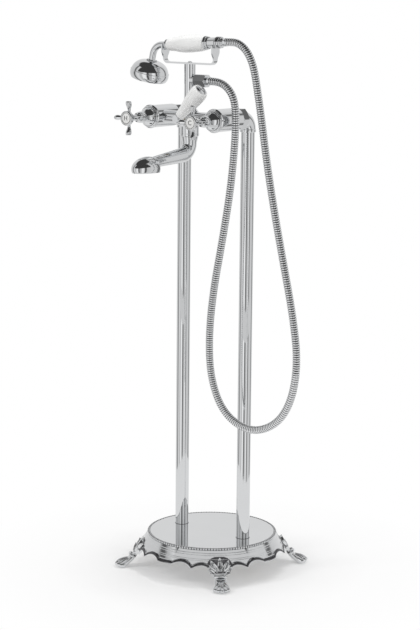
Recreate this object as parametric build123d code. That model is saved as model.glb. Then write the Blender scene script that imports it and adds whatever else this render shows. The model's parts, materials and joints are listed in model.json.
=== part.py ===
from build123d import *
from math import atan2, cos, degrees, hypot, pi, radians, sin, tan
import os

# Free-standing bath shower mixer. Millimetres, +Z up, the spout and handles face -Y.
# The origin lies on the floor, on the vertical axis of the round base.

# Driving sizes of the whole mixer
inlet_spacing = 150.0
valve_height = 863.0
valve_axis_back = 77.0
plate_top = 68.5
fit_gap = 0.05
run_gap = 0.06
face_gap = 0.3
overrun = 1.0

# Base: plate, beaded rim, skirt
plate_thickness = 4.0
bead_circle_radius = 121.5
bead_radius = 2.6
bead_count = 148
bead_ring_radius = 1.8
bead_sink = 1.6
skirt_wall = 3.0
skirt_top_radius = 123.0
skirt_waist_radius = 133.2
skirt_waist_height = 49.0
skirt_foot_radius = 151.0
skirt_foot_height = 28.0
skirt_seat_radius = 106.0
skirt_seat_thickness = 3.0
scallop_height = 37.5
scallop_tongue_half = 16.3
scallop_crest_rise = 5.5
scallop_cusp_half = 57.0
scallop_cusp_drop = 2.5
scallop_leg_crest_half = 74.0
scallop_leg_crest_rise = 2.7
scallop_leg_half = 93.0
scallop_leg_drop = 9.0
border_width = 4.0
border_proud = 0.9

# Claw feet
foot_count = 4
foot_heel_radius = 150.0
foot_toe_radius = 185.0
foot_height = 15.0
foot_knee_half = 19.0
foot_ankle_half = 11.5
foot_ankle_height = 19.0
foot_paw_half = 17.0
foot_tang_height = 48.0
foot_tang_thickness = 6.0
toe_groove_count = 3
toe_groove_width = 2.4
toe_groove_depth = 1.5
toe_groove_turn = 15.0
petal_length = 30.0
petal_radius = 6.2
petal_turn = 27.0
foot_screw_radius = 2.5
foot_screw_head_radius = 4.4
foot_screw_head_height = 2.4
foot_screw_length = 5.5
foot_screw_spacing = 20.0
foot_screw_height = 41.0

# Standpipes and the supply tails under the plate
pipe_radius = 12.7
pipe_wall = 1.6
pipe_top = 843.0
tail_radius = 10.48
tail_bore = 7.5
tail_bottom = 20.0
tail_top = 84.0
tail_thread_length = 30.0
tail_relief_length = 3.0
tail_relief_depth = 1.0
lock_nut_flats = 30.0
lock_nut_height = 8.0
lock_washer_radius = 17.0
lock_washer_thickness = 1.5
collar_radius = 15.0
collar_height = 5.5

# Elbows, union nuts and the body behind them
elbow_radius = 14.25
elbow_bend = 20.0
elbow_straight = 9.0
elbow_flange_radius = 16.8
elbow_flange_thickness = 3.0
union_washer_thickness = 1.5
union_nut_flats = 37.0
union_nut_back = 20.6
union_nut_front = 38.0
union_nut_lip = 4.9

# Mixer body
valve_body_radius = 20.5
valve_body_back = 38.0
valve_body_front = 97.0
valve_bore_radius = 15.5
valve_bore_depth = 50.0
cross_tube_radius = 12.0
waterway_radius = 7.0
column_radius = 10.25
column_stub_top = 896.0
flare_heights = (4.0, 8.5, 13.0, 19.0, 28.0)
flare_halves = (34.0, 25.5, 18.5, 13.0, 10.0)
flare_depths = (11.4, 11.1, 10.8, 10.5, 10.0)
spout_boss_radius = 17.5
spout_boss_bottom = 836.0
spout_boss_bore = 12.0
spout_boss_bore_top = 850.0
riser_bore = 6.0
diverter_housing_radius = 14.5
diverter_bore_radius = 10.0
diverter_bore_depth = 14.0

# Valve tops and handles, lengths counted forward from the front of the valve body
cartridge_neck_radius = 9.0
cartridge_neck_top = 14.0
shroud_ridge_radius = 21.2
shroud_wall = 2.0
shroud_top = 20.0
nose_radius = 10.4
nose_top = 40.0
spindle_radius = 5.5
spindle_inner_end = 12.0
hub_radius = 13.0
hub_back = 53.0
hub_front = 68.0
arm_reach = 30.5
arm_plane = 61.0
arm_count = 4
arm_reach_shares = (0.34, 0.60, 0.84, 1.0)
arm_half_widths = (3.1, 3.3, 4.7, 3.9)
arm_half_depths = (3.1, 3.7, 6.2, 5.2)
arm_lean = (0.0, 0.3, 1.2, 1.8)
bezel_radius = 13.3
bezel_wall = 1.5
bezel_height = 2.6
button_dome = 1.4

# Diverter and its ceramic lever
diverter_cap_radius = 13.0
diverter_cap_thickness = 3.5
lever_plane = 111.5
lever_angle = 45.0
diverter_hub_radius = 8.0
diverter_hub_half = 7.0
diverter_spindle_radius = 4.5
lever_rod_radius = 3.2
lever_root = 9.0
lever_length = 68.0
lever_root_radius = 9.0
lever_waist_share = 0.30
lever_waist_radius = 11.4
lever_belly_share = 0.84
lever_belly_radius = 15.7
lever_tip_radius = 12.4
lever_cap_radius = 10.6
lever_cap_height = 3.6

# Spout
spout_top_radius = 16.2
spout_end_radius = 9.4
spout_wall = 1.8
spout_bend_height = 798.5
spout_bend_radius = 22.0
spout_descent = 5.0
spout_neck_radius = 13.6
nozzle_centre_reach = 117.0
nozzle_axis_height = 779.5
nozzle_mouth_height = 773.0
nozzle_radius = 21.5
nozzle_front = 36.0
nozzle_back = 12.0
nozzle_wall = 2.0
egg_share = 0.5523
spigot_top = 848.0
spigot_bore = 9.0
spigot_flange_thickness = 6.0
o_ring_section = 1.1
o_ring_heights = (840.0, 845.0)
collar_ring_radius = 17.8
former_radius = 8.6
former_thickness = 5.0
former_hole_radius = 0.9

# Riser, outlet and cradle
tee_bottom = 918.0
tee_top = 960.5
outlet_height = 931.5
outlet_radius = 9.0
outlet_spigot_radius = 8.4
outlet_end = 30.0
outlet_bore = 5.0
hose_nut_flats = 22.0
hose_nut_start = 15.0
hose_nut_end = 41.0
hose_nut_wall = 5.0
hose_washer_thickness = 1.2
ferrule_tail_radius = 5.6
ferrule_flange_thickness = 2.0
ferrule_length = 8.0
cradle_half_span = 60.0
cradle_strip = 3.0
cradle_corner = 10.0
cradle_top = 995.0
cradle_bar_half = 5.0
cradle_fork_half = 10.6
cradle_flare_start = 968.0
cradle_flare_end = 985.0
cradle_screw_radius = 2.6
cradle_screw_head_radius = 4.8
cradle_screw_head_height = 2.6
cradle_screw_length = 18.0

# Handset, places counted along its own axis from above the riser
handset_height = 997.0
handset_tilt = 3.5
handset_lift_gap = 0.3
grip_left = -52.0
grip_right = 36.0
grip_left_radius = 8.6
grip_places = (-39.0, -20.0, 3.0, 21.0)
grip_radii = (12.1, 14.9, 15.9, 15.0)
grip_right_radius = 12.4
grip_tube_radius = 6.2
grip_tube_bore = 4.2
front_ring_radius = 9.6
front_ring_length = 4.0
rear_ring_radius = 11.6
rear_ring_length = 9.0
rear_ring_groove = 1.4
tail_body_radius = 9.6
tail_body_end = 70.0
tail_ring_radius = 10.9
tail_ring_start = 62.5
tail_ring_length = 4.0
upper_nut_radius = 10.2
upper_nut_end = 79.0
upper_ferrule_end = 85.0
neck_radius = 6.2
neck_bend = 22.0
neck_lead = 12.0
neck_drop = 10.5
bell_tilt = 13.5
bell_radius = 35.4
bell_collar_radius = 8.0
bell_collar_length = 3.0
bell_shoulder_radius = 28.0
bell_shoulder_drop = 9.8
bell_rim_drop = 23.0
bell_lip_drop = 30.0
bell_foot_radius = 32.6
bell_foot_drop = 37.5
bell_wall = 2.0
rose_radius = 30.0
rose_thickness = 2.5
rose_hole_radius = 0.9
rose_ring_radii = (8.0, 14.5, 21.0, 27.0)
rose_ring_counts = (6, 12, 18, 24)

# Shower hose
hose_radius = 7.1
hose_bore = 5.0
hose_groove_depth = 0.7
hose_rib_count = 190
hose_first_run = 15.3

part_color = Color(0.8, 0.8, 0.82)


def save(node, solid):
    """Write one named piece to its own STEP file."""
    solid.label = node
    solid.color = part_color
    export_step(solid, "parts/" + node + ".step")
    volume = solid.volume / 1000
    print(f"{node:24s} solids {len(solid.solids()):2d}  volume {volume:9.2f} cm3")


def turned(*outline):
    """Spin a closed outline of (radius, height) points about Z."""
    return revolve(make_face(Plane.XZ * Polyline(*outline, close=True)), Axis.Z)


def spun(*edges):
    """Spin a closed outline of edges, drawn as (radius, height), about Z."""
    return revolve(make_face(Plane.XZ * Curve(list(edges))), Axis.Z)


def ring(inner, outer, low, high):
    """A straight tube about Z, or a disc where inner is 0."""
    return turned((inner, low), (outer, low), (outer, high), (inner, high))


def hexagon(flats, low, high, bevel):
    """A hexagonal bar about Z whose corners are turned off at both ends."""
    corner = flats / 3 ** 0.5
    height = high - low
    bar = Pos(0, 0, low) * extrude(RegularPolygon(flats / 2, 6, major_radius=False), height)
    cone = turned((0, low), (flats / 2, low), (corner + fit_gap, low + bevel),
                  (corner + fit_gap, high - bevel), (flats / 2, high), (0, high))
    return bar & cone


def facing(x, height, back):
    """A place whose own Z points forward along -Y, and whose own Y points up."""
    return Location(Plane(origin=(x, -back, height), x_dir=(1, 0, 0), z_dir=(0, -1, 0)))


def sideways(reach, back, height):
    """A place whose own Z points along +X, and whose own X points back along +Y."""
    return Location(Plane(origin=(reach, -back, height), x_dir=(0, 1, 0), z_dir=(1, 0, 0)))


def dome(edge, low, high):
    """An arc from (edge, low) up to the axis at high, on a sphere centred on the axis."""
    rise = high - low
    radius = (edge ** 2 + rise ** 2) / (2 * rise)
    half = atan2(edge, radius - rise) / 2
    return ThreePointArc((edge, low), (radius * sin(half), high - radius + radius * cos(half)), (0, high))


def joined(first, *rest):
    """Several overlapping solids as one."""
    for piece in rest:
        first = first + piece
    return first


# Base


def skirt_outline(shift):
    """The bell's flank from its top edge to its foot, moved out from the axis by shift."""
    return ThreePointArc((skirt_top_radius + shift, plate_top - plate_thickness),
                         (skirt_waist_radius + shift, skirt_waist_height),
                         (skirt_foot_radius + shift, skirt_foot_height))


def skirt_shell(proud):
    """The whole bell before its edge is cut, standing proud of its own flank by a little."""
    top = plate_top - plate_thickness
    outer = skirt_outline(proud)
    inner = skirt_outline(-skirt_wall)
    return spun(outer, Line(outer @ 1, inner @ 1), inner, Line(inner @ 0, outer @ 0)) - Pos(0, 0, top) * (
        Box(3 * skirt_foot_radius, 3 * skirt_foot_radius, plate_top, align=(Align.CENTER, Align.CENTER, Align.MIN)))


def scallop_face(grow):
    """One bay of the bell's lower edge, seen from outside, as the area below the edge."""
    edge = scallop_height
    tongue = (scallop_tongue_half, edge)
    crest = ((scallop_tongue_half + scallop_cusp_half) / 2, edge + scallop_crest_rise)
    cusp = (scallop_cusp_half, edge - scallop_cusp_drop)
    leg_crest = (scallop_leg_crest_half, edge + scallop_leg_crest_rise)
    leg = (scallop_leg_half, edge - scallop_leg_drop)
    half = [Line((0, edge), tongue), ThreePointArc(tongue, crest, cusp), ThreePointArc(cusp, leg_crest, leg),
            Line(leg, (scallop_leg_half, -overrun)), Line((scallop_leg_half, -overrun), (0, -overrun)),
            Line((0, -overrun), (0, edge))]
    right = make_face(half)
    whole = right + mirror(right, Plane.YZ)
    return offset(whole, grow) if grow else whole


def scallop_cutters(grow):
    """The four bays as bars that run out through the bell's flank."""
    bar = extrude(Plane.XZ * scallop_face(grow), skirt_foot_radius + skirt_top_radius)
    return [Rot(0, 0, 360 / foot_count * n) * bar for n in range(foot_count)]


def base_skirt():
    top = plate_top - plate_thickness
    bays = scallop_cutters(0)
    wide_bays = scallop_cutters(border_width)
    band = skirt_shell(border_proud) & joined(*wide_bays)
    seat = ring(skirt_seat_radius, skirt_top_radius, top - skirt_seat_thickness, top)
    bell = skirt_shell(0) + seat
    return joined(bell, band) - joined(*bays)


def base_plate():
    top_inset = bead_circle_radius - bead_radius - fit_gap
    plate = ring(0, top_inset, plate_top - plate_thickness, plate_top)
    hole = ring(0, tail_radius + face_gap, 0, plate_top + overrun)
    return plate - Pos(inlet_spacing / 2, 0, 0) * hole - Pos(-inlet_spacing / 2, 0, 0) * hole


def bead_rim():
    seat = plate_top - plate_thickness
    centre = plate_top - bead_sink
    core = Pos(0, 0, centre) * Torus(bead_circle_radius, bead_ring_radius)
    step = 2 * pi / bead_count
    beads = [Pos(bead_circle_radius * cos(step * n), bead_circle_radius * sin(step * n), centre) * Sphere(bead_radius)
             for n in range(bead_count)]
    rim = core.fuse(*beads)
    floor = ring(0, 2 * bead_circle_radius, seat - 2 * bead_radius, seat)
    return rim - floor


def foot_side():
    """The foot seen from its side, as (distance from the base's axis, height)."""
    toe = foot_toe_radius
    heel = foot_heel_radius
    wall = foot_tang_thickness
    knee = skirt_foot_radius + border_proud + overrun
    tang = skirt_waist_radius - skirt_wall - wall
    ankle = heel + (toe - heel) / 3
    points = [(tang, foot_tang_height), (tang + wall, foot_tang_height), (skirt_foot_radius, foot_tang_height - wall),
              (knee, skirt_foot_height), (ankle, foot_ankle_height)]
    front = Polyline(*points)
    instep = ThreePointArc((ankle, foot_ankle_height), (toe - foot_height * 2 / 3, foot_height * 0.72), (toe, 0))
    sole = Line((toe, 0), (heel, 0))
    back = ThreePointArc((heel, 0), (heel - wall, foot_ankle_height * 0.75), (tang + wall * 1.6, skirt_foot_height))
    close = Line((tang + wall * 1.6, skirt_foot_height), (tang, foot_tang_height))
    return make_face([*front.edges(), instep, sole, back, close])


def foot_front():
    """The leg seen from in front: wide at the knee, narrow at the ankle, widening into the paw."""
    knee = foot_knee_half
    ankle = foot_ankle_half
    waist = foot_ankle_height
    half = [Line((0, foot_tang_height + overrun), (knee, foot_tang_height + overrun)),
            Line((knee, foot_tang_height + overrun), (knee, skirt_foot_height + border_width)),
            ThreePointArc((knee, skirt_foot_height + border_width), (ankle + (knee - ankle) * 0.3, waist + overrun * 6),
                          (ankle, waist)),
            Line((ankle, waist), (ankle + overrun, 0)), Line((ankle + overrun, 0), (0, 0)),
            Line((0, 0), (0, foot_tang_height + overrun))]
    right = make_face(half)
    return right + mirror(right, Plane.YZ)


def paw_plan():
    """The paw seen from above, as (distance from the base's axis, half width)."""
    heel = foot_heel_radius
    toe = foot_toe_radius
    corner = toe - foot_paw_half * 0.62
    ankle = heel + (toe - heel) / 3
    half = [Line((heel, 0), (heel, foot_ankle_half)), Line((heel, foot_ankle_half), (ankle, foot_ankle_half)),
            ThreePointArc((ankle, foot_ankle_half), ((ankle + corner) / 2, foot_ankle_half * 1.12),
                          (corner, foot_paw_half)),
            ThreePointArc((corner, foot_paw_half), (toe - foot_paw_half * 0.16, foot_paw_half / 2), (toe, 0)),
            Line((toe, 0), (heel, 0))]
    top = make_face(half)
    return top + mirror(top, Plane.XZ)


def petal(turn):
    """One leaf of the knee ornament, lying on the bell's flank, its point towards the plate."""
    tip = (petal_length, 0)
    swell = petal_radius * 1.5
    flank = Bezier((0, 0), (0, swell), (petal_length * 0.55, swell), tip)
    leaf = revolve(make_face([flank, Line(tip, (0, 0))]), Axis.X)
    rise = skirt_waist_height - skirt_foot_height
    run = skirt_foot_radius - skirt_waist_radius
    slope = degrees(atan2(rise, run))
    place = Pos(skirt_foot_radius + border_proud, 0, skirt_foot_height) * Rot(0, slope + 180, 0) * Rot(0, 0, turn)
    return place * leaf


def foot(angle):
    depth = 2 * foot_knee_half
    side = extrude(Plane.XZ * foot_side(), depth, both=True)
    front = Plane.YZ * foot_front()
    leg = side & extrude(front, foot_toe_radius)
    block = Pos(0, 0, -overrun) * extrude(paw_plan(), foot_ankle_height + overrun)
    paw = side & block
    groove_band = foot_side() - offset(foot_side(), -toe_groove_depth)
    groove = extrude(Plane.XZ * groove_band, toe_groove_width / 2, both=True)
    keep = Pos(foot_heel_radius, 0, overrun) * Box(depth, depth, foot_ankle_height - 2 * overrun,
                                                  align=(Align.MIN, Align.CENTER, Align.MIN))
    solid = leg + paw
    middle = (toe_groove_count - 1) / 2
    for n in range(toe_groove_count):
        turn = Pos(foot_heel_radius, 0, 0) * Rot(0, 0, (n - middle) * toe_groove_turn) * Pos(-foot_heel_radius, 0, 0)
        solid = solid - (turn * (groove & keep))
    for turn in (-petal_turn, 0, petal_turn):
        solid = solid + petal(turn)
    inside = skirt_outline(-skirt_wall)
    hollow = spun(inside, Line(inside @ 1, (0, skirt_foot_height)), Line((0, skirt_foot_height), (0, plate_top)),
                  Line((0, plate_top), (skirt_seat_radius, plate_top)),
                  Line((skirt_seat_radius, plate_top), inside @ 0))
    petals_only = solid - extrude(Plane.XZ * foot_side(), depth, both=True)
    solid = solid - (petals_only & hollow)
    placed = Rot(0, 0, angle) * solid
    return placed


def foot_screw_places(angle):
    """The two screws of one foot, square to the bell's inner flank."""
    rise = skirt_waist_height - skirt_foot_height
    run = skirt_foot_radius - skirt_waist_radius
    slope = degrees(atan2(run, rise))
    share = (skirt_waist_height - foot_screw_height) / rise
    radius = skirt_waist_radius - skirt_wall + run * share
    inset = foot_tang_thickness / cos(radians(slope))
    return [Rot(0, 0, angle) * Pos(radius - inset, side * foot_screw_spacing / 2, foot_screw_height)
            * Rot(0, 90 - slope, 0) for side in (-1, 1)]


def foot_screw():
    """A pan-head screw, its head at the low end and its shank along +Z."""
    head = ring(0, foot_screw_head_radius, -foot_screw_head_height, 0)
    return head + ring(0, foot_screw_radius, 0, foot_screw_length)


# Standpipes


def standpipe():
    tube = ring(pipe_radius - pipe_wall, pipe_radius, plate_top, pipe_top)
    plug = ring(tail_radius + fit_gap, pipe_radius - pipe_wall + fit_gap, plate_top, tail_top)
    return tube + plug


def inlet_tail():
    """The supply tail: its free thread ends in a relief groove below the lock nut."""
    thread_end = tail_bottom + tail_thread_length
    tube = ring(tail_bore, tail_radius, tail_bottom, tail_top)
    waist = tail_radius - tail_relief_depth
    return tube - ring(waist, tail_radius + overrun, thread_end, thread_end + tail_relief_length)


def lock_washer():
    top = plate_top - plate_thickness
    return ring(tail_radius + fit_gap, lock_washer_radius, top - lock_washer_thickness, top)


def lock_nut():
    top = plate_top - plate_thickness - lock_washer_thickness
    body = hexagon(lock_nut_flats, top - lock_nut_height, top, lock_washer_thickness)
    return body - ring(0, tail_radius + fit_gap, 0, plate_top)


def pipe_collar():
    low = pipe_top - collar_height
    edge = collar_radius - pipe_radius
    return turned((pipe_radius + fit_gap, low), (collar_radius - edge / 3, low), (collar_radius, low + edge / 3),
                  (collar_radius, pipe_top - edge / 3), (collar_radius - edge / 3, pipe_top),
                  (pipe_radius + fit_gap, pipe_top))


def elbow():
    """A quarter bend from the pipe's top into the union at the back of the body."""
    bore = pipe_radius - pipe_wall
    drop = valve_height - pipe_top
    section = Pos(0, 0, pipe_top) * (Circle(elbow_radius) - Circle(bore))
    bend = revolve(section, Axis((0, -elbow_bend, pipe_top), (1, 0, 0)), 90)
    straight = facing(0, pipe_top + elbow_bend, elbow_bend) * ring(bore, elbow_radius, 0, elbow_straight)
    flange_back = elbow_straight - elbow_flange_thickness
    flange = facing(0, pipe_top + drop, elbow_bend) * ring(bore, elbow_flange_radius, flange_back, elbow_straight)
    return bend + straight + flange


def union_washer():
    bore = pipe_radius - pipe_wall
    start = elbow_bend + elbow_straight
    return facing(0, valve_height, 0) * ring(bore, elbow_flange_radius, start, start + union_washer_thickness)


def union_nut():
    body = hexagon(union_nut_flats, union_nut_back, union_nut_front, union_nut_lip / 2)
    neck = ring(0, elbow_radius + fit_gap, 0, union_nut_front)
    thread = ring(0, elbow_flange_radius + fit_gap, union_nut_back + union_nut_lip, union_nut_front + overrun)
    return facing(0, valve_height, 0) * (body - neck - thread)


# Mixer body


def flare():
    """The trumpet that eases the column into the cross tube, built on ellipses."""
    sections = [Pos(0, -valve_axis_back, valve_height + height) * Ellipse(half, depth)
                for height, half, depth in zip(flare_heights, flare_halves, flare_depths)]
    return loft(sections)


def mixer_body():
    pieces = []
    spigot_back = elbow_bend + elbow_straight + union_washer_thickness
    for side in (-1, 1):
        place = facing(side * inlet_spacing / 2, valve_height, 0)
        pieces.append(place * ring(0, valve_body_radius, valve_body_back, valve_body_front))
        pieces.append(place * ring(0, elbow_flange_radius - fit_gap, spigot_back, valve_body_back + overrun))
    half = inlet_spacing / 2
    pieces.append(sideways(0, valve_axis_back, valve_height) * ring(0, cross_tube_radius, -half, half))
    axis = Pos(0, -valve_axis_back, 0)
    pieces.append(axis * ring(0, column_radius, valve_height, column_stub_top))
    pieces.append(flare())
    pieces.append(axis * ring(0, spout_boss_radius, spout_boss_bottom, valve_height))
    front = facing(0, valve_height, 0)
    pieces.append(front * ring(0, diverter_housing_radius, valve_axis_back, valve_body_front))
    body = joined(*pieces)
    cuts = []
    for side in (-1, 1):
        place = facing(side * half, valve_height, 0)
        floor = valve_body_front - valve_bore_depth
        cuts.append(place * ring(0, valve_bore_radius, floor, valve_body_front + overrun))
        cuts.append(place * ring(0, waterway_radius, spigot_back - overrun, floor + overrun))
    cuts.append(sideways(0, valve_axis_back, valve_height) * ring(0, waterway_radius, -half, half))
    cuts.append(axis * ring(0, riser_bore, spout_boss_bore_top - overrun, column_stub_top + overrun))
    cuts.append(axis * ring(0, spout_boss_bore, spout_boss_bottom - overrun, spout_boss_bore_top))
    diverter_floor = valve_body_front - diverter_bore_depth
    cuts.append(front * ring(0, diverter_bore_radius, diverter_floor, valve_body_front + overrun))
    return body - joined(*cuts)


def bonnet_shroud(side):
    """The ridged bell over a valve, ending in a ball nose round the spindle."""
    ridge = shroud_ridge_radius
    base = valve_body_radius
    step = shroud_wall
    mouth = nose_radius
    outer = [Line((base - 2 * step, 0), (base, 0)), Line((base, 0), (ridge, step / 2)),
             ThreePointArc((ridge, step / 2), (ridge + step / 4, step), (ridge, step * 1.5)),
             Line((ridge, step * 1.5), (base - step, step * 2)),
             ThreePointArc((base - step, step * 2), (base - step * 0.4, step * 3), (base - step, step * 4)),
             Line((base - step, step * 4), (base - step * 1.6, step * 4)),
             ThreePointArc((base - step * 1.6, step * 4), (mouth + step * 2.2, shroud_top * 0.68),
                           (mouth - step * 0.8, shroud_top)),
             ThreePointArc((mouth - step * 0.8, shroud_top), (mouth, (shroud_top + nose_top) / 2),
                           (mouth - step, nose_top - step / 2)),
             Line((mouth - step, nose_top - step / 2), (spindle_radius + run_gap, nose_top)),
             Line((spindle_radius + run_gap, nose_top), (spindle_radius + run_gap, shroud_top - step)),
             Line((spindle_radius + run_gap, shroud_top - step), (cartridge_neck_radius + fit_gap, shroud_top - step)),
             Line((cartridge_neck_radius + fit_gap, shroud_top - step), (base - 2 * step, step * 3)),
             Line((base - 2 * step, step * 3), (base - 2 * step, 0))]
    return facing(side * inlet_spacing / 2, valve_height, valve_body_front) * spun(*outer)


def cartridge(side):
    """The ceramic-disc valve that sits in the body's bore."""
    shaft = spindle_radius + run_gap
    depth = valve_bore_depth
    reach = depth - spindle_inner_end
    body = turned((0, -depth), (valve_bore_radius - fit_gap, -depth), (valve_bore_radius - fit_gap, 0),
                  (cartridge_neck_radius, 0), (cartridge_neck_radius, cartridge_neck_top),
                  (shaft, cartridge_neck_top), (shaft, -depth + reach), (0, -depth + reach))
    port = waterway_radius - overrun
    bore = valve_axis_back - valve_body_front
    across = Rot(0, 90, 0) * ring(0, port, -valve_bore_radius, valve_bore_radius)
    inlet = ring(0, port, -depth - overrun, bore)
    solid = body - Pos(0, 0, bore) * across - inlet
    return facing(side * inlet_spacing / 2, valve_height, valve_body_front) * solid


def valve_spindle(side):
    low = -spindle_inner_end + face_gap
    return facing(side * inlet_spacing / 2, valve_height, valve_body_front) * ring(0, spindle_radius, low, hub_back)


def handle_arm():
    """One arm along +X, swelling forward at its tip."""
    sections = []
    for share, width, depth, lean in zip(arm_reach_shares, arm_half_widths, arm_half_depths, arm_lean):
        place = Location(Plane(origin=(arm_reach * share, 0, arm_plane + lean), x_dir=(0, 1, 0), z_dir=(1, 0, 0)))
        sections.append(place * Ellipse(width, depth))
    return loft(sections)


def cross_handle(side):
    length = hub_front - hub_back
    hub = spun(Line((0, hub_back), (hub_radius * 0.55, hub_back)),
               ThreePointArc((hub_radius * 0.55, hub_back), (hub_radius * 0.72, hub_back + length * 0.4),
                             (hub_radius, hub_back + length * 0.72)),
               Line((hub_radius, hub_back + length * 0.72), (hub_radius, hub_front)),
               Line((hub_radius, hub_front), (0, hub_front)), Line((0, hub_front), (0, hub_back)))
    solid = joined(hub, *[Rot(0, 0, 360 / arm_count * n) * handle_arm() for n in range(arm_count)])
    return facing(side * inlet_spacing / 2, valve_height, valve_body_front) * solid


def index_bezel(side):
    low = hub_front
    high = hub_front + bezel_height
    inner = bezel_radius - bezel_wall
    solid = spun(Line((inner, low), (bezel_radius, low)),
                 ThreePointArc((bezel_radius, low), (bezel_radius - bezel_wall * 0.25, (low + high) / 2 + 0.5 * bezel_wall),
                               (inner, high)),
                 Line((inner, high), (inner, low)))
    return facing(side * inlet_spacing / 2, valve_height, valve_body_front) * solid


def index_button(side):
    low = hub_front
    edge = hub_front + bezel_height - button_dome
    rim = bezel_radius - bezel_wall - fit_gap
    solid = spun(Line((0, low), (rim, low)), Line((rim, low), (rim, edge)),
                 dome(rim, edge, edge + button_dome),
                 Line((0, edge + button_dome), (0, low)))
    return facing(side * inlet_spacing / 2, valve_height, valve_body_front) * solid


# Diverter


def diverter_cap():
    edge = diverter_cap_thickness / 3
    outer = diverter_cap_radius
    bore = diverter_spindle_radius + run_gap
    reach = diverter_bore_depth - diverter_cap_thickness
    solid = turned((bore, -reach), (diverter_bore_radius - fit_gap, -reach), (diverter_bore_radius - fit_gap, 0),
                   (outer, 0), (outer, diverter_cap_thickness - edge),
                   (outer - edge, diverter_cap_thickness), (bore, diverter_cap_thickness))
    return facing(0, valve_height, valve_body_front) * solid


def diverter_spindle():
    inner = valve_body_front - diverter_bore_depth + face_gap
    return facing(0, valve_height, 0) * ring(0, diverter_spindle_radius, inner, lever_plane - diverter_hub_half)


def diverter_hub():
    half = diverter_hub_half
    outer = diverter_hub_radius
    solid = spun(Line((0, -half), (outer * 0.8, -half)),
                 ThreePointArc((outer * 0.8, -half), (outer, 0), (outer * 0.8, half)),
                 Line((outer * 0.8, half), (0, half)), Line((0, half), (0, -half)))
    hole = lever_place() * Rot(0, 0, 0) * ring(0, lever_rod_radius + fit_gap, 0, lever_root + overrun)
    return facing(0, valve_height, lever_plane) * solid - hole


def lever_place():
    """A place at the hub's centre whose own Z points along the lever."""
    turn = radians(lever_angle)
    return Location(Plane(origin=(0, -lever_plane, valve_height), x_dir=(0, 1, 0), z_dir=(sin(turn), 0, cos(turn))))


def lever_rod():
    return lever_place() * ring(0, lever_rod_radius, fit_gap, lever_root + lever_length - lever_cap_height)


def lever_grip():
    """The ceramic baluster, narrow at the hub and full near its tip."""
    root = lever_root
    length = lever_length
    bore = lever_rod_radius + fit_gap
    waist = (lever_waist_radius, root + length * lever_waist_share)
    belly = (lever_belly_radius, root + length * lever_belly_share)
    flank = Spline((lever_root_radius, root), waist, belly, (lever_tip_radius, root + length),
                   tangents=[(0.12, 1), (-0.9, 0.45)])
    solid = spun(Line((bore, root), (lever_root_radius, root)), flank,
                 Line((lever_tip_radius, root + length), (bore, root + length)),
                 Line((bore, root + length), (bore, root)))
    return lever_place() * solid


def lever_cap():
    low = lever_root + lever_length
    cap = lever_cap_radius
    shank = lever_rod_radius - fit_gap
    edge = low + lever_cap_height / 3
    solid = spun(Line((0, low - lever_cap_height), (shank, low - lever_cap_height)),
                 Line((shank, low - lever_cap_height), (shank, low)), Line((shank, low), (cap, low)),
                 Line((cap, low), (cap, edge)), dome(cap, edge, low + lever_cap_height),
                 Line((0, low + lever_cap_height), (0, low - lever_cap_height)))
    return lever_place() * solid


# Spout


def collar_ring_height():
    """The retaining collar is as tall as the spigot's flange."""
    return spigot_flange_thickness


def spout_tube(shrink, run_on):
    """The drop, the bend and the tapering reach of the spout, smaller all round by shrink."""
    top = spout_boss_bottom - collar_ring_height() - face_gap
    bend = spout_bend_radius
    turn = radians(90 - spout_descent)
    start = spout_bend_height + bend * tan(turn / 2)
    neck = spout_neck_radius - shrink
    axis = Pos(0, -valve_axis_back, 0)
    drop = axis * turned((0, start), (neck, start), (spout_top_radius - shrink, top), (0, top))
    section = axis * Pos(0, 0, start) * Circle(neck)
    curve = revolve(section, Axis((0, -valve_axis_back - bend, start), (1, 0, 0)), -degrees(turn))
    forward = valve_axis_back + bend - bend * cos(turn)
    height = start - bend * sin(turn)
    reach = valve_axis_back + nozzle_centre_reach - nozzle_back / 2 - forward
    run = reach / cos(radians(spout_descent))
    along = (0, -cos(radians(spout_descent)), -sin(radians(spout_descent)))
    place = Location(Plane(origin=(0, -forward, height), x_dir=(1, 0, 0), z_dir=along))
    end = spout_end_radius - shrink
    reach_tube = place * turned((0, 0), (neck, 0), (end, run), (0, run))
    tube = drop + curve + reach_tube
    if run_on:
        tube = tube + axis * ring(0, spout_top_radius - shrink, top - overrun, top + overrun)
    return tube


def nozzle_blank(shrink):
    """The hood's full outer form: half an egg lying along the spout, cut square at the back."""
    radius = nozzle_radius - shrink
    front = nozzle_front - shrink
    back = nozzle_back - shrink
    back_radius = radius * (1 - (back / front) ** 2) ** 0.5
    solid = spun(ThreePointArc((back_radius, -back), (radius * (1 - (back / front / 2) ** 2) ** 0.5, -back / 2),
                               (radius, 0)),
                 Bezier((radius, 0), (radius, front * egg_share), (radius * egg_share, front), (0, front)),
                 Line((0, front), (0, -back)), Line((0, -back), (back_radius, -back)))
    reach = valve_axis_back + nozzle_centre_reach
    return facing(0, nozzle_axis_height, reach) * solid


def below_mouth(height):
    size = 4 * nozzle_front
    return Pos(0, -valve_axis_back - nozzle_centre_reach, height) * Box(
        size, size, size, align=(Align.CENTER, Align.CENTER, Align.MAX))


def spout():
    top = spout_boss_bottom - collar_ring_height() - face_gap
    outer = spout_tube(0, False) + (nozzle_blank(0) - below_mouth(nozzle_mouth_height))
    seat = Pos(0, -valve_axis_back, 0) * ring(0, spigot_seat_radius(), top - spigot_flange_thickness, top + overrun)
    bore = spout_tube(spout_wall, True)
    hollow = nozzle_blank(nozzle_wall) - below_mouth(nozzle_mouth_height - overrun)
    return outer - bore - hollow - seat


def spigot_seat_radius():
    """The recess in the spout's top that the spigot's flange sits in."""
    return spout_top_radius - spout_wall


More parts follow.
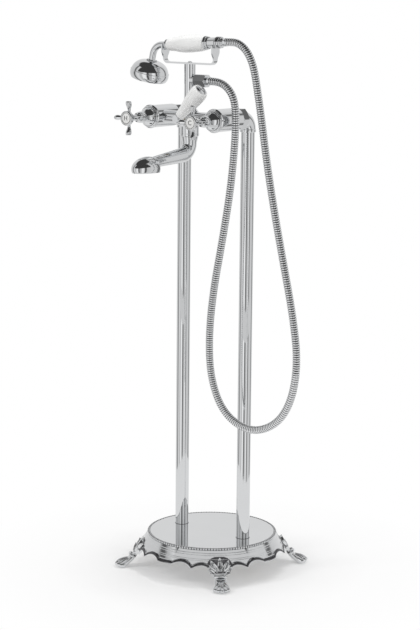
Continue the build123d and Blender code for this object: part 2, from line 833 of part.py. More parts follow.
def spout_spigot():
    """The swivel's inner sleeve, with two ring grooves and a flange seated in the spout's top."""
    flange_top = spout_boss_bottom - collar_ring_height() - face_gap
    outer = spout_boss_bore - run_gap
    bore = spigot_bore
    flange = spigot_seat_radius() - fit_gap
    low = flange_top - spigot_flange_thickness
    body = ring(bore, outer, low, spigot_top) + ring(bore, flange, low, flange_top)
    for height in o_ring_heights:
        half = o_ring_section + fit_gap
        body = body - ring(outer - 2 * o_ring_section, outer + overrun, height - half, height + half)
    return Pos(0, -valve_axis_back, 0) * body


def spout_o_rings():
    middle = spout_boss_bore - run_gap - o_ring_section
    return Compound([Pos(0, -valve_axis_back, height) * Torus(middle, o_ring_section) for height in o_ring_heights])


def spout_collar():
    """The fixed ring under the body's boss that the spout turns against."""
    low = spout_boss_bottom - collar_ring_height()
    bore = spout_boss_bore + fit_gap
    edge = collar_ring_height() / 4
    solid = turned((bore, low), (spout_top_radius, low), (collar_ring_radius, low + edge),
                   (collar_ring_radius, spout_boss_bottom - edge), (spout_boss_radius, spout_boss_bottom),
                   (bore, spout_boss_bottom))
    return Pos(0, -valve_axis_back, 0) * solid


# Riser and cradle


def riser_column():
    solid = ring(riser_bore, column_radius, column_stub_top, tee_bottom)
    return Pos(0, -valve_axis_back, 0) * solid


def outlet_tee():
    axis = Pos(0, -valve_axis_back, 0)
    column = axis * ring(0, column_radius, tee_bottom, tee_top)
    arm = sideways(0, valve_axis_back, outlet_height)
    body = column + arm * ring(0, outlet_radius, 0, hose_nut_start) + arm * ring(
        0, outlet_spigot_radius, 0, outlet_end)
    water = axis * ring(0, riser_bore, tee_bottom - overrun, outlet_height + riser_bore)
    side = arm * ring(0, outlet_bore, 0, outlet_end + overrun)
    screw = axis * ring(0, cradle_screw_radius + fit_gap, tee_top - cradle_screw_length, tee_top + overrun)
    return body - water - side - screw


def hose_nut_lower():
    body = hexagon(hose_nut_flats, hose_nut_start, hose_nut_end, hose_nut_wall / 3)
    inside = hose_nut_end - hose_nut_wall
    thread = ring(0, outlet_spigot_radius + fit_gap, 0, inside)
    neck = ring(0, ferrule_tail_radius + fit_gap, 0, hose_nut_end + overrun)
    return sideways(0, valve_axis_back, outlet_height) * (body - thread - neck)


def hose_washer():
    return sideways(0, valve_axis_back, outlet_height) * ring(
        ferrule_tail_radius - fit_gap, outlet_spigot_radius, outlet_end, outlet_end + hose_washer_thickness)


def hose_ferrule_lower():
    """The flanged tail held by the nut, and the sleeve crimped on the hose."""
    start = outlet_end + hose_washer_thickness
    flange = ring(hose_bore - overrun, outlet_spigot_radius, start, start + ferrule_flange_thickness)
    tail = ring(hose_bore - overrun, ferrule_tail_radius, start, hose_nut_end + overrun)
    sleeve = ferrule_sleeve(hose_nut_end, hose_nut_end + ferrule_length)
    return sideways(0, valve_axis_back, outlet_height) * (flange + tail + sleeve)


def ferrule_sleeve(low, high):
    edge = (hose_radius - ferrule_tail_radius) / 2
    bore = hose_bore - overrun
    return turned((bore, low), (hose_radius - edge, low), (hose_radius + edge / 2, low + edge),
                  (hose_radius + edge / 2, high - edge), (hose_radius, high), (bore, high))


def cradle():
    """A bent strip whose two arms widen into forks under the handset."""
    low = tee_top
    half = cradle_half_span
    strip = cradle_strip
    outer = FilletPolyline((-half, cradle_top), (-half, low), (half, low), (half, cradle_top), radius=cradle_corner)
    inner = FilletPolyline((half - strip, cradle_top), (half - strip, low + strip), (-half + strip, low + strip),
                           (-half + strip, cradle_top), radius=cradle_corner - strip)
    edges = [*outer.edges(), Line(outer @ 1, inner @ 0), *inner.edges(), Line(inner @ 1, outer @ 0)]
    bent = Pos(0, -valve_axis_back, 0) * extrude(Plane.XZ * make_face(edges), cradle_fork_half, both=True)
    bar = cradle_bar_half
    fork = cradle_fork_half
    mid = (cradle_flare_start + cradle_flare_end) / 2
    side = [Line((0, low - overrun), (bar, low - overrun)), Line((bar, low - overrun), (bar, cradle_flare_start)),
            Spline((bar, cradle_flare_start), ((bar + fork) / 2, mid), (fork, cradle_flare_end),
                   tangents=[(0, 1), (0, 1)]),
            Line((fork, cradle_flare_end), (fork, cradle_top + overrun)),
            Line((fork, cradle_top + overrun), (0, cradle_top + overrun)),
            Line((0, cradle_top + overrun), (0, low - overrun))]
    right = make_face(side)
    front = Pos(0, -valve_axis_back, 0) * extrude(Plane.YZ * (right + mirror(right, Plane.YZ)), 2 * half, both=True)
    strip_solid = bent & front
    notch_left = handset_place() * ring(0, neck_radius + 2 * handset_lift_gap, -2 * half, 0)
    notch_right = handset_place() * ring(0, tail_body_radius + handset_lift_gap, 0, 2 * half)
    hole = Pos(0, -valve_axis_back, 0) * ring(0, cradle_screw_radius + fit_gap, low - overrun, low + 2 * strip)
    lift_left = Pos(0, 0, neck_radius) * notch_left
    lift_right = Pos(0, 0, tail_body_radius) * notch_right
    return strip_solid - notch_left - notch_right - lift_left - lift_right - hole


def cradle_screw():
    head_low = tee_top + cradle_strip
    head = cradle_screw_head_radius
    high = head_low + cradle_screw_head_height
    solid = spun(Line((0, head_low), (head, head_low)),
                 dome(head, head_low, high),
                 Line((0, high), (0, head_low)))
    shank = ring(0, cradle_screw_radius, tee_top - cradle_screw_length + fit_gap, head_low)
    return Pos(0, -valve_axis_back, 0) * (solid + shank)


# Handset


def handset_place():
    """A place on the grip's axis, above the riser, whose own Z points along it towards the hose."""
    tilt = radians(handset_tilt)
    return Location(Plane(origin=(0, -valve_axis_back, handset_height), x_dir=(0, 1, 0),
                          z_dir=(cos(tilt), 0, sin(tilt))))


def handset_grip():
    bore = grip_tube_radius + fit_gap
    swell = zip(grip_radii, grip_places)
    crown = Spline((grip_left_radius, grip_left), *swell, (grip_right_radius, grip_right),
                   tangents=[(1, 0.9), (-0.35, 1)])
    solid = spun(Line((bore, grip_left), (grip_left_radius, grip_left)), crown,
                 Line((grip_right_radius, grip_right), (bore, grip_right)),
                 Line((bore, grip_right), (bore, grip_left)))
    return handset_place() * solid


def grip_tube():
    left = grip_left - front_ring_length
    right = grip_right + rear_ring_length
    return handset_place() * ring(grip_tube_bore, grip_tube_radius, left, right)


def front_ring():
    low = grip_left - front_ring_length
    edge = front_ring_length / 4
    return handset_place() * turned((grip_tube_radius + fit_gap, low), (neck_radius + edge, low),
                                    (front_ring_radius, low + edge), (front_ring_radius, grip_left - edge),
                                    (grip_left_radius, grip_left), (grip_tube_radius + fit_gap, grip_left))


def rear_ring():
    """Two beads with a groove between them, behind the ceramic grip."""
    low = grip_right
    high = grip_right + rear_ring_length
    mid = (low + high) / 2
    neck = rear_ring_radius - rear_ring_groove
    bore = grip_tube_radius + fit_gap
    return handset_place() * spun(
        Line((bore, low), (grip_right_radius, low)),
        ThreePointArc((grip_right_radius, low), (grip_right_radius + rear_ring_groove / 4, (low + mid) / 2), (neck, mid)),
        ThreePointArc((neck, mid), (rear_ring_radius, (mid + high) / 2), (neck, high)),
        Line((neck, high), (bore, high)), Line((bore, high), (bore, low)))


def handset_tail():
    low = grip_right + rear_ring_length
    ring_low = tail_ring_start
    ring_high = tail_ring_start + tail_ring_length
    body = tail_body_radius
    band = tail_ring_radius
    end = tail_body_end
    bore = grip_tube_bore
    solid = spun(Line((bore, low), (body, low)), Line((body, low), (body, ring_low)),
                 ThreePointArc((body, ring_low), (band, (ring_low + ring_high) / 2), (body, ring_high)),
                 Line((body, ring_high), (upper_nut_radius - ferrule_flange_thickness, end)),
                 Line((upper_nut_radius - ferrule_flange_thickness, end), (bore, end)), Line((bore, end), (bore, low)))
    return handset_place() * solid


def hose_nut_upper():
    low = tail_body_end
    high = upper_nut_end
    mid = (low + high) / 2
    outer = upper_nut_radius
    small = upper_nut_radius - ferrule_flange_thickness
    bore = ferrule_tail_radius + fit_gap
    solid = spun(Line((bore, low), (small, low)), ThreePointArc((small, low), (outer, (low + mid) / 2), (small, mid)),
                 Line((small, mid), (hose_radius + fit_gap, high)), Line((hose_radius + fit_gap, high), (bore, high)),
                 Line((bore, high), (bore, low)))
    return handset_place() * solid


def hose_ferrule_upper():
    low = tail_body_end + fit_gap
    tail = ring(hose_bore - overrun, ferrule_tail_radius, low, upper_nut_end + overrun)
    return handset_place() * (tail + ferrule_sleeve(upper_nut_end, upper_ferrule_end))


def neck_line():
    """The neck's points in the handset's plane: grip end, bend's start, bend's centre, bend's end, bell end."""
    start_turn = radians(handset_tilt)
    end_turn = radians(90 - bell_tilt)
    along = grip_left - front_ring_length
    grip_end = (along * cos(start_turn), handset_height + along * sin(start_turn))
    lead = (grip_end[0] - neck_lead * cos(start_turn), grip_end[1] - neck_lead * sin(start_turn))
    centre = (lead[0] + neck_bend * sin(start_turn), lead[1] - neck_bend * cos(start_turn))
    turn_end = (centre[0] - neck_bend * sin(end_turn), centre[1] + neck_bend * cos(end_turn))
    bell_end = (turn_end[0] - neck_drop * cos(end_turn), turn_end[1] - neck_drop * sin(end_turn))
    return grip_end, lead, centre, turn_end, bell_end


def handset_neck():
    """A tube that leaves the grip level, bends and drops into the bell."""
    grip_end, lead, centre, turn_end, bell_end = neck_line()
    back = -valve_axis_back
    tilt = radians(bell_tilt)
    outward = (-cos(radians(handset_tilt)), 0, -sin(radians(handset_tilt)))
    level = Location(Plane(origin=(grip_end[0], back, grip_end[1]), x_dir=(0, 1, 0), z_dir=outward))
    face = Location(Plane(origin=(lead[0], back, lead[1]), x_dir=(0, 1, 0), z_dir=outward))
    section = face * (Circle(neck_radius) - Circle(grip_tube_bore))
    bend = revolve(section, Axis((centre[0], back, centre[1]), (0, -1, 0)), 90 - bell_tilt - handset_tilt)
    down = Location(Plane(origin=(turn_end[0], back, turn_end[1]), x_dir=(0, 1, 0), z_dir=(-sin(tilt), 0, -cos(tilt))))
    tube = ring(grip_tube_bore, neck_radius, 0, neck_lead)
    return level * tube + bend + down * ring(grip_tube_bore, neck_radius, 0, neck_drop)


def bell_place():
    """A place at the neck's lower end whose own Z points down out of the rose."""
    x, z = neck_line()[-1]
    tilt = radians(bell_tilt)
    return Location(Plane(origin=(x, -valve_axis_back, z), x_dir=(0, 1, 0), z_dir=(-sin(tilt), 0, -cos(tilt))))


def handset_bell():
    collar = bell_collar_radius
    crown = bell_collar_length
    wall = bell_wall
    outer = [Line((neck_radius - wall, 0), (collar - wall / 2, 0)), Line((collar - wall / 2, 0), (collar, wall / 2)),
             Line((collar, wall / 2), (collar, crown)),
             ThreePointArc((collar, crown), (bell_shoulder_radius, bell_shoulder_drop),
                           (bell_radius - wall / 4, bell_rim_drop)),
             Line((bell_radius - wall / 4, bell_rim_drop), (bell_radius, bell_rim_drop + wall / 4)),
             ThreePointArc((bell_radius, bell_rim_drop + wall / 4), (bell_radius + wall / 8, bell_lip_drop),
                           (bell_foot_radius, bell_foot_drop))]
    inner = [Line((bell_foot_radius, bell_foot_drop), (rose_radius + fit_gap, bell_foot_drop)),
             Line((rose_radius + fit_gap, bell_foot_drop), (rose_radius + fit_gap, bell_lip_drop)),
             ThreePointArc((rose_radius + fit_gap, bell_lip_drop),
                           (bell_shoulder_radius - wall * 1.5, bell_shoulder_drop + wall * 2),
                           (neck_radius - wall, crown + wall)),
             Line((neck_radius - wall, crown + wall), (neck_radius - wall, 0))]
    return bell_place() * spun(*outer, *inner)


def rose_plate():
    low = bell_foot_drop - rose_thickness
    plate = ring(0, rose_radius, low, bell_foot_drop)
    holes = [ring(0, rose_hole_radius, low - overrun, bell_foot_drop + overrun)]
    for radius, count in zip(rose_ring_radii, rose_ring_counts):
        step = 2 * pi / count
        holes += [Pos(radius * cos(step * n), radius * sin(step * n), 0) * holes[0] for n in range(count)]
    return bell_place() * plate.cut(*holes)


# Shower hose


def on_handset_axis(along):
    tilt = radians(handset_tilt)
    return along * cos(tilt), handset_height + along * sin(tilt)


def hose_route():
    """The hose's route as points chosen by hand, from the lower ferrule to the handset."""
    points = [(hose_nut_end + ferrule_length, outlet_height), (63.6, outlet_height), (79.8, 926.7), (93.4, 916.2),
              (102.4, 901.6), (106.2, 881.6), (106.6, 850.0), (103.5, 800.0), (95.0, 730.0), (78.0, 640.0),
              (60.0, 555.0), (50.0, 470.0), (54.0, 389.0), (85.0, 325.0), (147.0, 299.0), (206.0, 320.0),
              (241.0, 369.0), (253.5, 443.0), (241.0, 525.0), (220.0, 610.0), (198.0, 700.0), (178.5, 790.0),
              (165.5, 866.0), (154.5, 922.0), (147.2, 954.5), (139.0, 975.0), (128.0, 990.0), (114.5, 999.5),
              on_handset_axis(upper_ferrule_end + hose_first_run), on_handset_axis(upper_ferrule_end)]
    return [(x, -valve_axis_back, z) for x, z in points]


def hose_path():
    """Straight runs joined by arcs as large as the runs allow."""
    points = [Vector(*p) for p in hose_route()]
    radii = []
    for before, here, after in zip(points, points[1:], points[2:]):
        first = here - before
        second = after - here
        turn = radians(first.get_angle(second))
        radii.append(0.45 * min(first.length, second.length) / tan(turn / 2))
    print("hose radii in diameters", [round(r / hose_radius / 2, 1) for r in radii])
    return FilletPolyline(*points, radius=radii)


def shower_hose():
    path = hose_path()
    start = path @ 0
    face = Location(Plane(origin=start, x_dir=(0, 1, 0), z_dir=path % 0))
    tube = sweep(face * (Circle(hose_radius) - Circle(hose_bore)), path=path)
    section = pi * (hose_radius ** 2 - hose_bore ** 2)
    print(f"hose length {path.length:.0f} mm, volume over section times length "
          f"{tube.volume / section / path.length:.4f}")
    return tube


def main():
    os.makedirs("parts", exist_ok=True)
    half = inlet_spacing / 2
    left = Pos(-half, 0, 0)
    right = Pos(half, 0, 0)
    foot_angles = {"front_left": 225, "front_right": 315, "rear_left": 135, "rear_right": 45}

    skirt = base_skirt()
    feet = {name: foot(angle) - skirt for name, angle in foot_angles.items()}
    screws = []
    for name, angle in foot_angles.items():
        for place in foot_screw_places(angle):
            screws.append(place * foot_screw())
            hole = place * ring(0, foot_screw_radius + fit_gap, -foot_screw_head_height, 2 * foot_screw_length)
            sink = place * ring(0, foot_screw_head_radius + fit_gap, -2 * foot_tang_thickness, 0)
            feet[name] = feet[name] - hole - sink
            skirt = skirt - place * ring(0, foot_screw_radius + fit_gap, 0, foot_screw_length + fit_gap)
    save("base_skirt", skirt)
    save("base_plate", base_plate())
    save("bead_rim", bead_rim())
    for name, solid in feet.items():
        save("foot_" + name, solid)
    save("foot_screws", Compound(screws))

    save("standpipe_left", left * standpipe())
    save("standpipe_right", right * standpipe())
    save("inlet_tail_left", left * inlet_tail())
    save("inlet_tail_right", right * inlet_tail())
    save("inlet_lock_nuts", Compound([left * lock_nut(), right * lock_nut()]))
    save("inlet_washers", Compound([left * lock_washer(), right * lock_washer()]))
    save("pipe_collars", Compound([left * pipe_collar(), right * pipe_collar()]))
    save("elbow_left", left * elbow())
    save("elbow_right", right * elbow())
    save("union_nuts", Compound([left * union_nut(), right * union_nut()]))
    save("union_washers", Compound([left * union_washer(), right * union_washer()]))

    save("mixer_body", mixer_body())
    for word, side in (("left", -1), ("right", 1)):
        save("cartridge_" + word, cartridge(side))
        save("bonnet_shroud_" + word, bonnet_shroud(side))
        save("valve_spindle_" + word, valve_spindle(side))
        save("cross_handle_" + word, cross_handle(side))
        save("index_bezel_" + word, index_bezel(side))
        save("index_button_" + word, index_button(side))

    save("diverter_cap", diverter_cap())
    save("diverter_spindle", diverter_spindle())
    save("diverter_hub", diverter_hub())
    save("lever_rod", lever_rod())
    save("lever_grip", lever_grip())
    save("lever_cap", lever_cap())

    save("spout", spout())
    save("spout_spigot", spout_spigot())
    save("spout_o_rings", spout_o_rings())
    save("spout_collar", spout_collar())

    save("riser_column", riser_column())
    save("outlet_tee", outlet_tee())
    save("hose_nut_lower", hose_nut_lower())
    save("hose_washer", hose_washer())
    save("hose_ferrule_lower", hose_ferrule_lower())
    save("cradle", cradle())
    save("cradle_screw", cradle_screw())

    save("handset_grip", handset_grip())
    save("grip_tube", grip_tube())
    save("front_ring", front_ring())
    save("rear_ring", rear_ring())
    save("handset_tail", handset_tail())
    save("hose_nut_upper", hose_nut_upper())
    save("hose_ferrule_upper", hose_ferrule_upper())
    save("handset_neck", handset_neck())
    save("handset_bell", handset_bell())
    save("rose_plate", rose_plate())
    save("shower_hose", shower_hose())


main()
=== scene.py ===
# %% [markdown]
# # A free-standing bath shower mixer
#
# Two chrome pipes rise from a round, claw-footed base and carry a mixer with cross handles, a ceramic
# lever, a swivel spout and a handset on a ribbed hose. The solids come from the CAD frame. This lesson
# gives them their finishes, and remodels the pieces that need more than a solid can show. Lengths are in
# metres, except in the tables of the feet, which say so.

# %% Open the frame
import json
import math

import bpy
import numpy as np
from mathutils import Matrix, Vector

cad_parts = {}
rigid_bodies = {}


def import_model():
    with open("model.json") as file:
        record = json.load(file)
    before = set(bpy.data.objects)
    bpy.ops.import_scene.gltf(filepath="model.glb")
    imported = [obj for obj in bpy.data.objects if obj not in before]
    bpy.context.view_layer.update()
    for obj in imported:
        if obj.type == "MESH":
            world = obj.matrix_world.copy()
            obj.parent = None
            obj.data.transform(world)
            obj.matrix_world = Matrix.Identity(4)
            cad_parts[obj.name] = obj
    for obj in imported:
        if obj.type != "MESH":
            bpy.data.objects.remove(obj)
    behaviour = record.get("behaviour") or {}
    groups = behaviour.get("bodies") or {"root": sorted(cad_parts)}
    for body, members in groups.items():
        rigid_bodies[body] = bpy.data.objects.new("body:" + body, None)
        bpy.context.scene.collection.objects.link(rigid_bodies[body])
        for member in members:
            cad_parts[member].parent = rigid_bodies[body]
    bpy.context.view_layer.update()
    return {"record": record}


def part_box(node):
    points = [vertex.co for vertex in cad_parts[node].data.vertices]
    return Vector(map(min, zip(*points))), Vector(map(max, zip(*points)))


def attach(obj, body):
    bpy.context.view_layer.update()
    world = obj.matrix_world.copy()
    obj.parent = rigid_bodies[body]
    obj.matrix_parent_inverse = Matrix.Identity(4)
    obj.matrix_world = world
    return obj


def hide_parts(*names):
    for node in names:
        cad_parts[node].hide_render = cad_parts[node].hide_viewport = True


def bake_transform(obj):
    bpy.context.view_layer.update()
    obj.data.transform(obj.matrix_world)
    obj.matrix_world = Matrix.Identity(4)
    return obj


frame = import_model()
bodies = frame["record"]["behaviour"]["bodies"]
print("CAD nodes:", sum(len(nodes) for nodes in bodies.values()))

# %% [markdown]
# ## The camera
#
# The photo was taken from the front right of the mixer, a little above its valves, with a long lens. The
# camera is a place, a direction and a small roll. A rotation matrix from its own right, up and back
# directions is the plainest way to set it, because then no angle depends on the order of the turns.

# %% Camera
camera_place = Vector((2.2135, -2.7620, 1.12916))
swing = math.radians(38.833)
pitch = math.radians(10.262)
roll = math.radians(0.552)

level_back = Vector((math.sin(swing), -math.cos(swing), 0))
level_right = Vector((math.cos(swing), math.sin(swing), 0))
ahead = -level_back * math.cos(pitch) - Vector((0, 0, math.sin(pitch)))
raised = Vector((0, 0, math.cos(pitch))) - level_back * math.sin(pitch)
right = level_right * math.cos(roll) + raised * math.sin(roll)
up = raised * math.cos(roll) - level_right * math.sin(roll)

camera = bpy.data.objects.new("camera", bpy.data.cameras.new("camera"))
bpy.context.scene.collection.objects.link(camera)
camera.matrix_world = Matrix((
    (right.x, up.x, -ahead.x, camera_place.x),
    (right.y, up.y, -ahead.y, camera_place.y),
    (right.z, up.z, -ahead.z, camera_place.z),
    (0, 0, 0, 1),
))
camera.data.sensor_width = 36
camera.data.lens = 109.03
camera.data.clip_end = 30
bpy.context.scene.camera = camera
print("camera looks from", [round(v, 2) for v in camera_place])

# %% [markdown]
# ## Node helpers
#
# Every finish here is built from the same few nodes: a place on the object, noise at one or two scales,
# and ramps that turn the noise into colour, roughness and tiny bumps. A few helpers keep each finish
# short enough to read.

# %% Helpers for materials
def new_finish(name, metallic, colour):
    """A material with a Principled shader, its nodes and links ready to extend."""
    material = bpy.data.materials.new(name)
    material.use_nodes = True
    shader = material.node_tree.nodes["Principled BSDF"]
    shader.inputs["Metallic"].default_value = metallic
    shader.inputs["Base Color"].default_value = (*colour, 1)
    return material, shader


def place_on_object(material, scale=(1, 1, 1)):
    """Object coordinates, stretched by scale."""
    nodes, links = material.node_tree.nodes, material.node_tree.links
    coordinates = nodes.new("ShaderNodeTexCoord")
    mapping = nodes.new("ShaderNodeMapping")
    mapping.inputs["Scale"].default_value = scale
    links.new(coordinates.outputs["Object"], mapping.inputs["Vector"])
    return mapping.outputs["Vector"]


def noise(material, where, per_metre, detail):
    """Cloudy noise with about per_metre lumps in each metre."""
    nodes, links = material.node_tree.nodes, material.node_tree.links
    cloud = nodes.new("ShaderNodeTexNoise")
    cloud.inputs["Scale"].default_value = per_metre
    cloud.inputs["Detail"].default_value = detail
    links.new(where, cloud.inputs["Vector"])
    return cloud.outputs["Fac"]


def ramp(material, factor, stops):
    """A colour ramp from (position, grey or colour) stops."""
    nodes, links = material.node_tree.nodes, material.node_tree.links
    band = nodes.new("ShaderNodeValToRGB")
    elements = band.color_ramp.elements
    while len(elements) < len(stops):
        elements.new(0.5)
    for element, (position, colour) in zip(elements, stops):
        element.position = position
        if not hasattr(colour, "__len__"):
            colour = (colour,) * 3
        element.color = (*colour, 1)
    links.new(factor, band.inputs["Fac"])
    return band.outputs["Color"]


def vary(material, socket, factor, stops):
    """Let a ramp of factor drive one socket of a shader."""
    material.node_tree.links.new(ramp(material, factor, stops), socket)


def bump(material, shader, height, strength, depth):
    """Fine relief on the shader's normal. depth is in metres."""
    nodes, links = material.node_tree.nodes, material.node_tree.links
    relief = nodes.new("ShaderNodeBump")
    relief.inputs["Strength"].default_value = strength
    relief.inputs["Distance"].default_value = depth
    links.new(height, relief.inputs["Height"])
    links.new(relief.outputs["Normal"], shader.inputs["Normal"])


# %% [markdown]
# ## Polished chrome
#
# Chrome plate on brass is a bright, faintly blue mirror. Real plate is never perfect: it ripples a little
# where the brass was buffed, and it carries a thin film of wipe marks. So the roughness drifts between two
# low values with a cloudy noise, the colour drifts with a larger one, and a very shallow bump makes the
# ripple. Castings take a softer plate, and the hollows of the ornament a chrome painted dark as their shade.

# %% Chrome finish
dulled_share = 0.97


def chrome_finish(name, colour, low, high, ripple):
    """Mirror plate whose roughness drifts from low to high."""
    material, shader = new_finish(name, 1.0, colour)
    where = place_on_object(material)
    smears = noise(material, where, per_metre=38, detail=4)
    vary(material, shader.inputs["Roughness"], smears, [(0.35, low), (0.75, high)])
    cloud = noise(material, where, per_metre=9, detail=2)
    dulled = tuple(dulled_share * part for part in colour)
    vary(material, shader.inputs["Base Color"], cloud, [(0.3, colour), (0.7, dulled)])
    bump(material, shader, noise(material, where, per_metre=55, detail=2), strength=ripple, depth=0.0004)
    return material


chrome_colour = (0.80, 0.81, 0.82)
polished_chrome = chrome_finish("polished_chrome", chrome_colour, low=0.035, high=0.085, ripple=0.025)
cast_chrome = chrome_finish("cast_chrome", chrome_colour, low=0.06, high=0.13, ripple=0.07)
# chrome painted dark: painted shade for the hollows, gaps and steps of the ornament
painted_shade_chrome = chrome_finish("painted_shade_chrome", (0.10, 0.10, 0.105), low=0.14, high=0.28, ripple=0.05)
print("chrome finishes:", polished_chrome.name, cast_chrome.name, painted_shade_chrome.name)

# %% [markdown]
# ## Ceramic, brass, steel, rubber
#
# The grip and the lever sleeve are white glazed ceramic: a soft body under a clear glaze, which pools and
# thins a little. The hidden pieces are bare machined brass, with lathe rings, the foot screws are plain
# steel, and the seals are black rubber.

# %% Ceramic glaze
def glaze_finish(name, body, warm):
    """White body with a clear coat that pools slightly."""
    material, shader = new_finish(name, 0.0, body)
    where = place_on_object(material)
    cloud = noise(material, where, per_metre=45, detail=4)
    vary(material, shader.inputs["Base Color"], cloud, [(0.3, body), (0.75, warm)])
    film = noise(material, where, per_metre=120, detail=3)
    vary(material, shader.inputs["Roughness"], film, [(0.3, 0.09), (0.8, 0.17)])
    shader.inputs["Coat Weight"].default_value = 0.6
    shader.inputs["Coat Roughness"].default_value = 0.04
    bump(material, shader, noise(material, where, per_metre=70, detail=2), strength=0.02, depth=0.0003)
    return material


white_ceramic = glaze_finish("white_ceramic", (0.93, 0.93, 0.925), (0.90, 0.90, 0.89))
index_enamel = glaze_finish("index_enamel", (0.88, 0.88, 0.87), (0.85, 0.85, 0.83))
print("glazes:", white_ceramic.name, index_enamel.name)

# %% Brass, steel and rubber
lathe_stretch = (1, 1, 30)


def turned_finish(name, colour, worn, low, high):
    """Bare turned metal: fine rings from the tool, stained here and there."""
    material, shader = new_finish(name, 1.0, colour)
    where = place_on_object(material)
    rings = noise(material, place_on_object(material, lathe_stretch), per_metre=90, detail=3)
    stains = noise(material, where, per_metre=60, detail=5)
    vary(material, shader.inputs["Base Color"], stains, [(0.35, colour), (0.75, worn)])
    vary(material, shader.inputs["Roughness"], rings, [(0.3, low), (0.7, high)])
    bump(material, shader, rings, strength=0.2, depth=0.0003)
    return material


raw_brass = turned_finish("raw_brass", (0.78, 0.60, 0.30), (0.62, 0.45, 0.22), low=0.22, high=0.42)
steel_screw = turned_finish("steel_screw", (0.60, 0.60, 0.61), (0.45, 0.45, 0.46), low=0.25, high=0.45)

seal_rubber, rubber_shader = new_finish("seal_rubber", 0.0, (0.03, 0.03, 0.03))
rubber_grain = noise(seal_rubber, place_on_object(seal_rubber), per_metre=900, detail=4)
vary(seal_rubber, rubber_shader.inputs["Roughness"], rubber_grain, [(0.3, 0.55), (0.7, 0.8)])
bump(seal_rubber, rubber_shader, rubber_grain, strength=0.3, depth=0.0002)
print("plain finishes:", raw_brass.name, steel_screw.name, seal_rubber.name)

# %% [markdown]
# ## Dressing the CAD pieces
#
# Most nodes keep their CAD shape, so each only needs its finish. The record names a slot for every node,
# and this table says which finish stands for which slot. The cast feet and the cradle take the slightly
# softer chrome.

# %% Give every node its finish
finish_of_slot = {
    "polished_chrome": polished_chrome, "hose_metal": polished_chrome, "raw_brass": raw_brass,
    "steel_screw": steel_screw, "white_ceramic": white_ceramic, "index_enamel": index_enamel,
    "seal_rubber": seal_rubber,
}
cast_nodes = {"foot_front_left", "foot_front_right", "foot_rear_left", "foot_rear_right", "cradle"}
for subpart in frame["record"]["subparts"]:
    node = bpy.data.objects[subpart["node"]]
    finish = cast_chrome if subpart["node"] in cast_nodes else finish_of_slot[subpart["material_slot"]]
    node.data.materials.clear()
    node.data.materials.append(finish)

# %% [markdown]
# ## The shower hose
#
# The hose is 1.5 m of interlocked metal strip, 14 mm thick. It leaves the tee sideways, drops beside the
# right valve, makes one long hanging loop and comes up into the handset's tail, all in one upright plane.
# Its line is a smooth NURBS spline with listed control points. Its rings are real geometry: a ridged
# profile is walked along the spline, because at this size a bump map would leave the outline smooth.

# %% Route of the hose
hose_back = -0.077
hose_points = [
    (0.0490, 0.9315), (0.0636, 0.9315), (0.0798, 0.9267), (0.0934, 0.9162), (0.1024, 0.9016),
    (0.1062, 0.8816), (0.1066, 0.8500), (0.1035, 0.8000), (0.0950, 0.7300), (0.0780, 0.6400),
    (0.0600, 0.5550), (0.0500, 0.4700), (0.0540, 0.3890), (0.0850, 0.3250), (0.1470, 0.2990),
    (0.2060, 0.3200), (0.2410, 0.3690), (0.2535, 0.4430), (0.2410, 0.5250), (0.2200, 0.6100),
    (0.1980, 0.7000), (0.1785, 0.7900), (0.1655, 0.8660), (0.1545, 0.9220), (0.1472, 0.9545),
    (0.1390, 0.9750), (0.1280, 0.9900), (0.1145, 0.9995), (0.10011, 1.00312), (0.08484, 1.00219),
]
route = bpy.data.curves.new("hose_route", "CURVE")
route.dimensions = "3D"
route.resolution_u = 32
spline = route.splines.new("NURBS")
spline.points.add(len(hose_points) - 1)
for point, (x, z) in zip(spline.points, hose_points):
    point.co = (x, hose_back, z, 1)
spline.order_u = 3
spline.use_endpoint_u = True
route_object = bpy.data.objects.new("hose_route", route)
bpy.context.scene.collection.objects.link(route_object)
bpy.context.view_layer.update()
evaluated_route = route_object.evaluated_get(bpy.context.evaluated_depsgraph_get())
route_mesh = bpy.data.meshes.new_from_object(evaluated_route)
centreline = np.array([v.co for v in route_mesh.vertices], float)
bpy.data.objects.remove(route_object)

steps = np.linalg.norm(np.diff(centreline, axis=0), axis=1)
along = np.concatenate([[0], np.cumsum(steps)])
hose_length = float(along[-1])
print("hose length:", round(hose_length, 4), "m from", len(centreline), "points")

# %% [markdown]
# The strip's profile repeats every 4.1 mm: a rounded crown, a flank, and a groove where the next turn
# hooks in, painted dark as its shade. Rings of vertices follow the line, each turned to face along it, and an
# attribute marks the grooves so that the finish can paint their shade in.

# %% Walk the ribs along the route
rib_pitch = 0.0041
crown_radius, flank_radius, groove_radius = 0.0071, 0.0068, 0.0061
# each row is a share of the pitch, the radius there, and how much painted shade it gets
rib_profile = [(0.00, groove_radius, 1.0), (0.20, groove_radius, 1.0), (0.27, flank_radius, 0.3),
               (0.40, crown_radius, 0.0), (0.80, crown_radius, 0.0), (0.93, flank_radius, 0.3)]
around = 20
rib_count = int(hose_length / rib_pitch)
rib_step = hose_length / rib_count

ring_place, ring_radius, ring_painted_shade = [], [], []
for rib in range(rib_count):
    for share, radius, dark in rib_profile:
        ring_place.append((rib + share) * rib_step)
        ring_radius.append(radius)
        ring_painted_shade.append(dark)
ring_place.append(hose_length)
ring_radius.append(groove_radius)
ring_painted_shade.append(1.0)


def on_route(place):
    """The points of the hose's centreline at these distances along it."""
    return np.stack([np.interp(place, along, centreline[:, axis]) for axis in range(3)], axis=1)


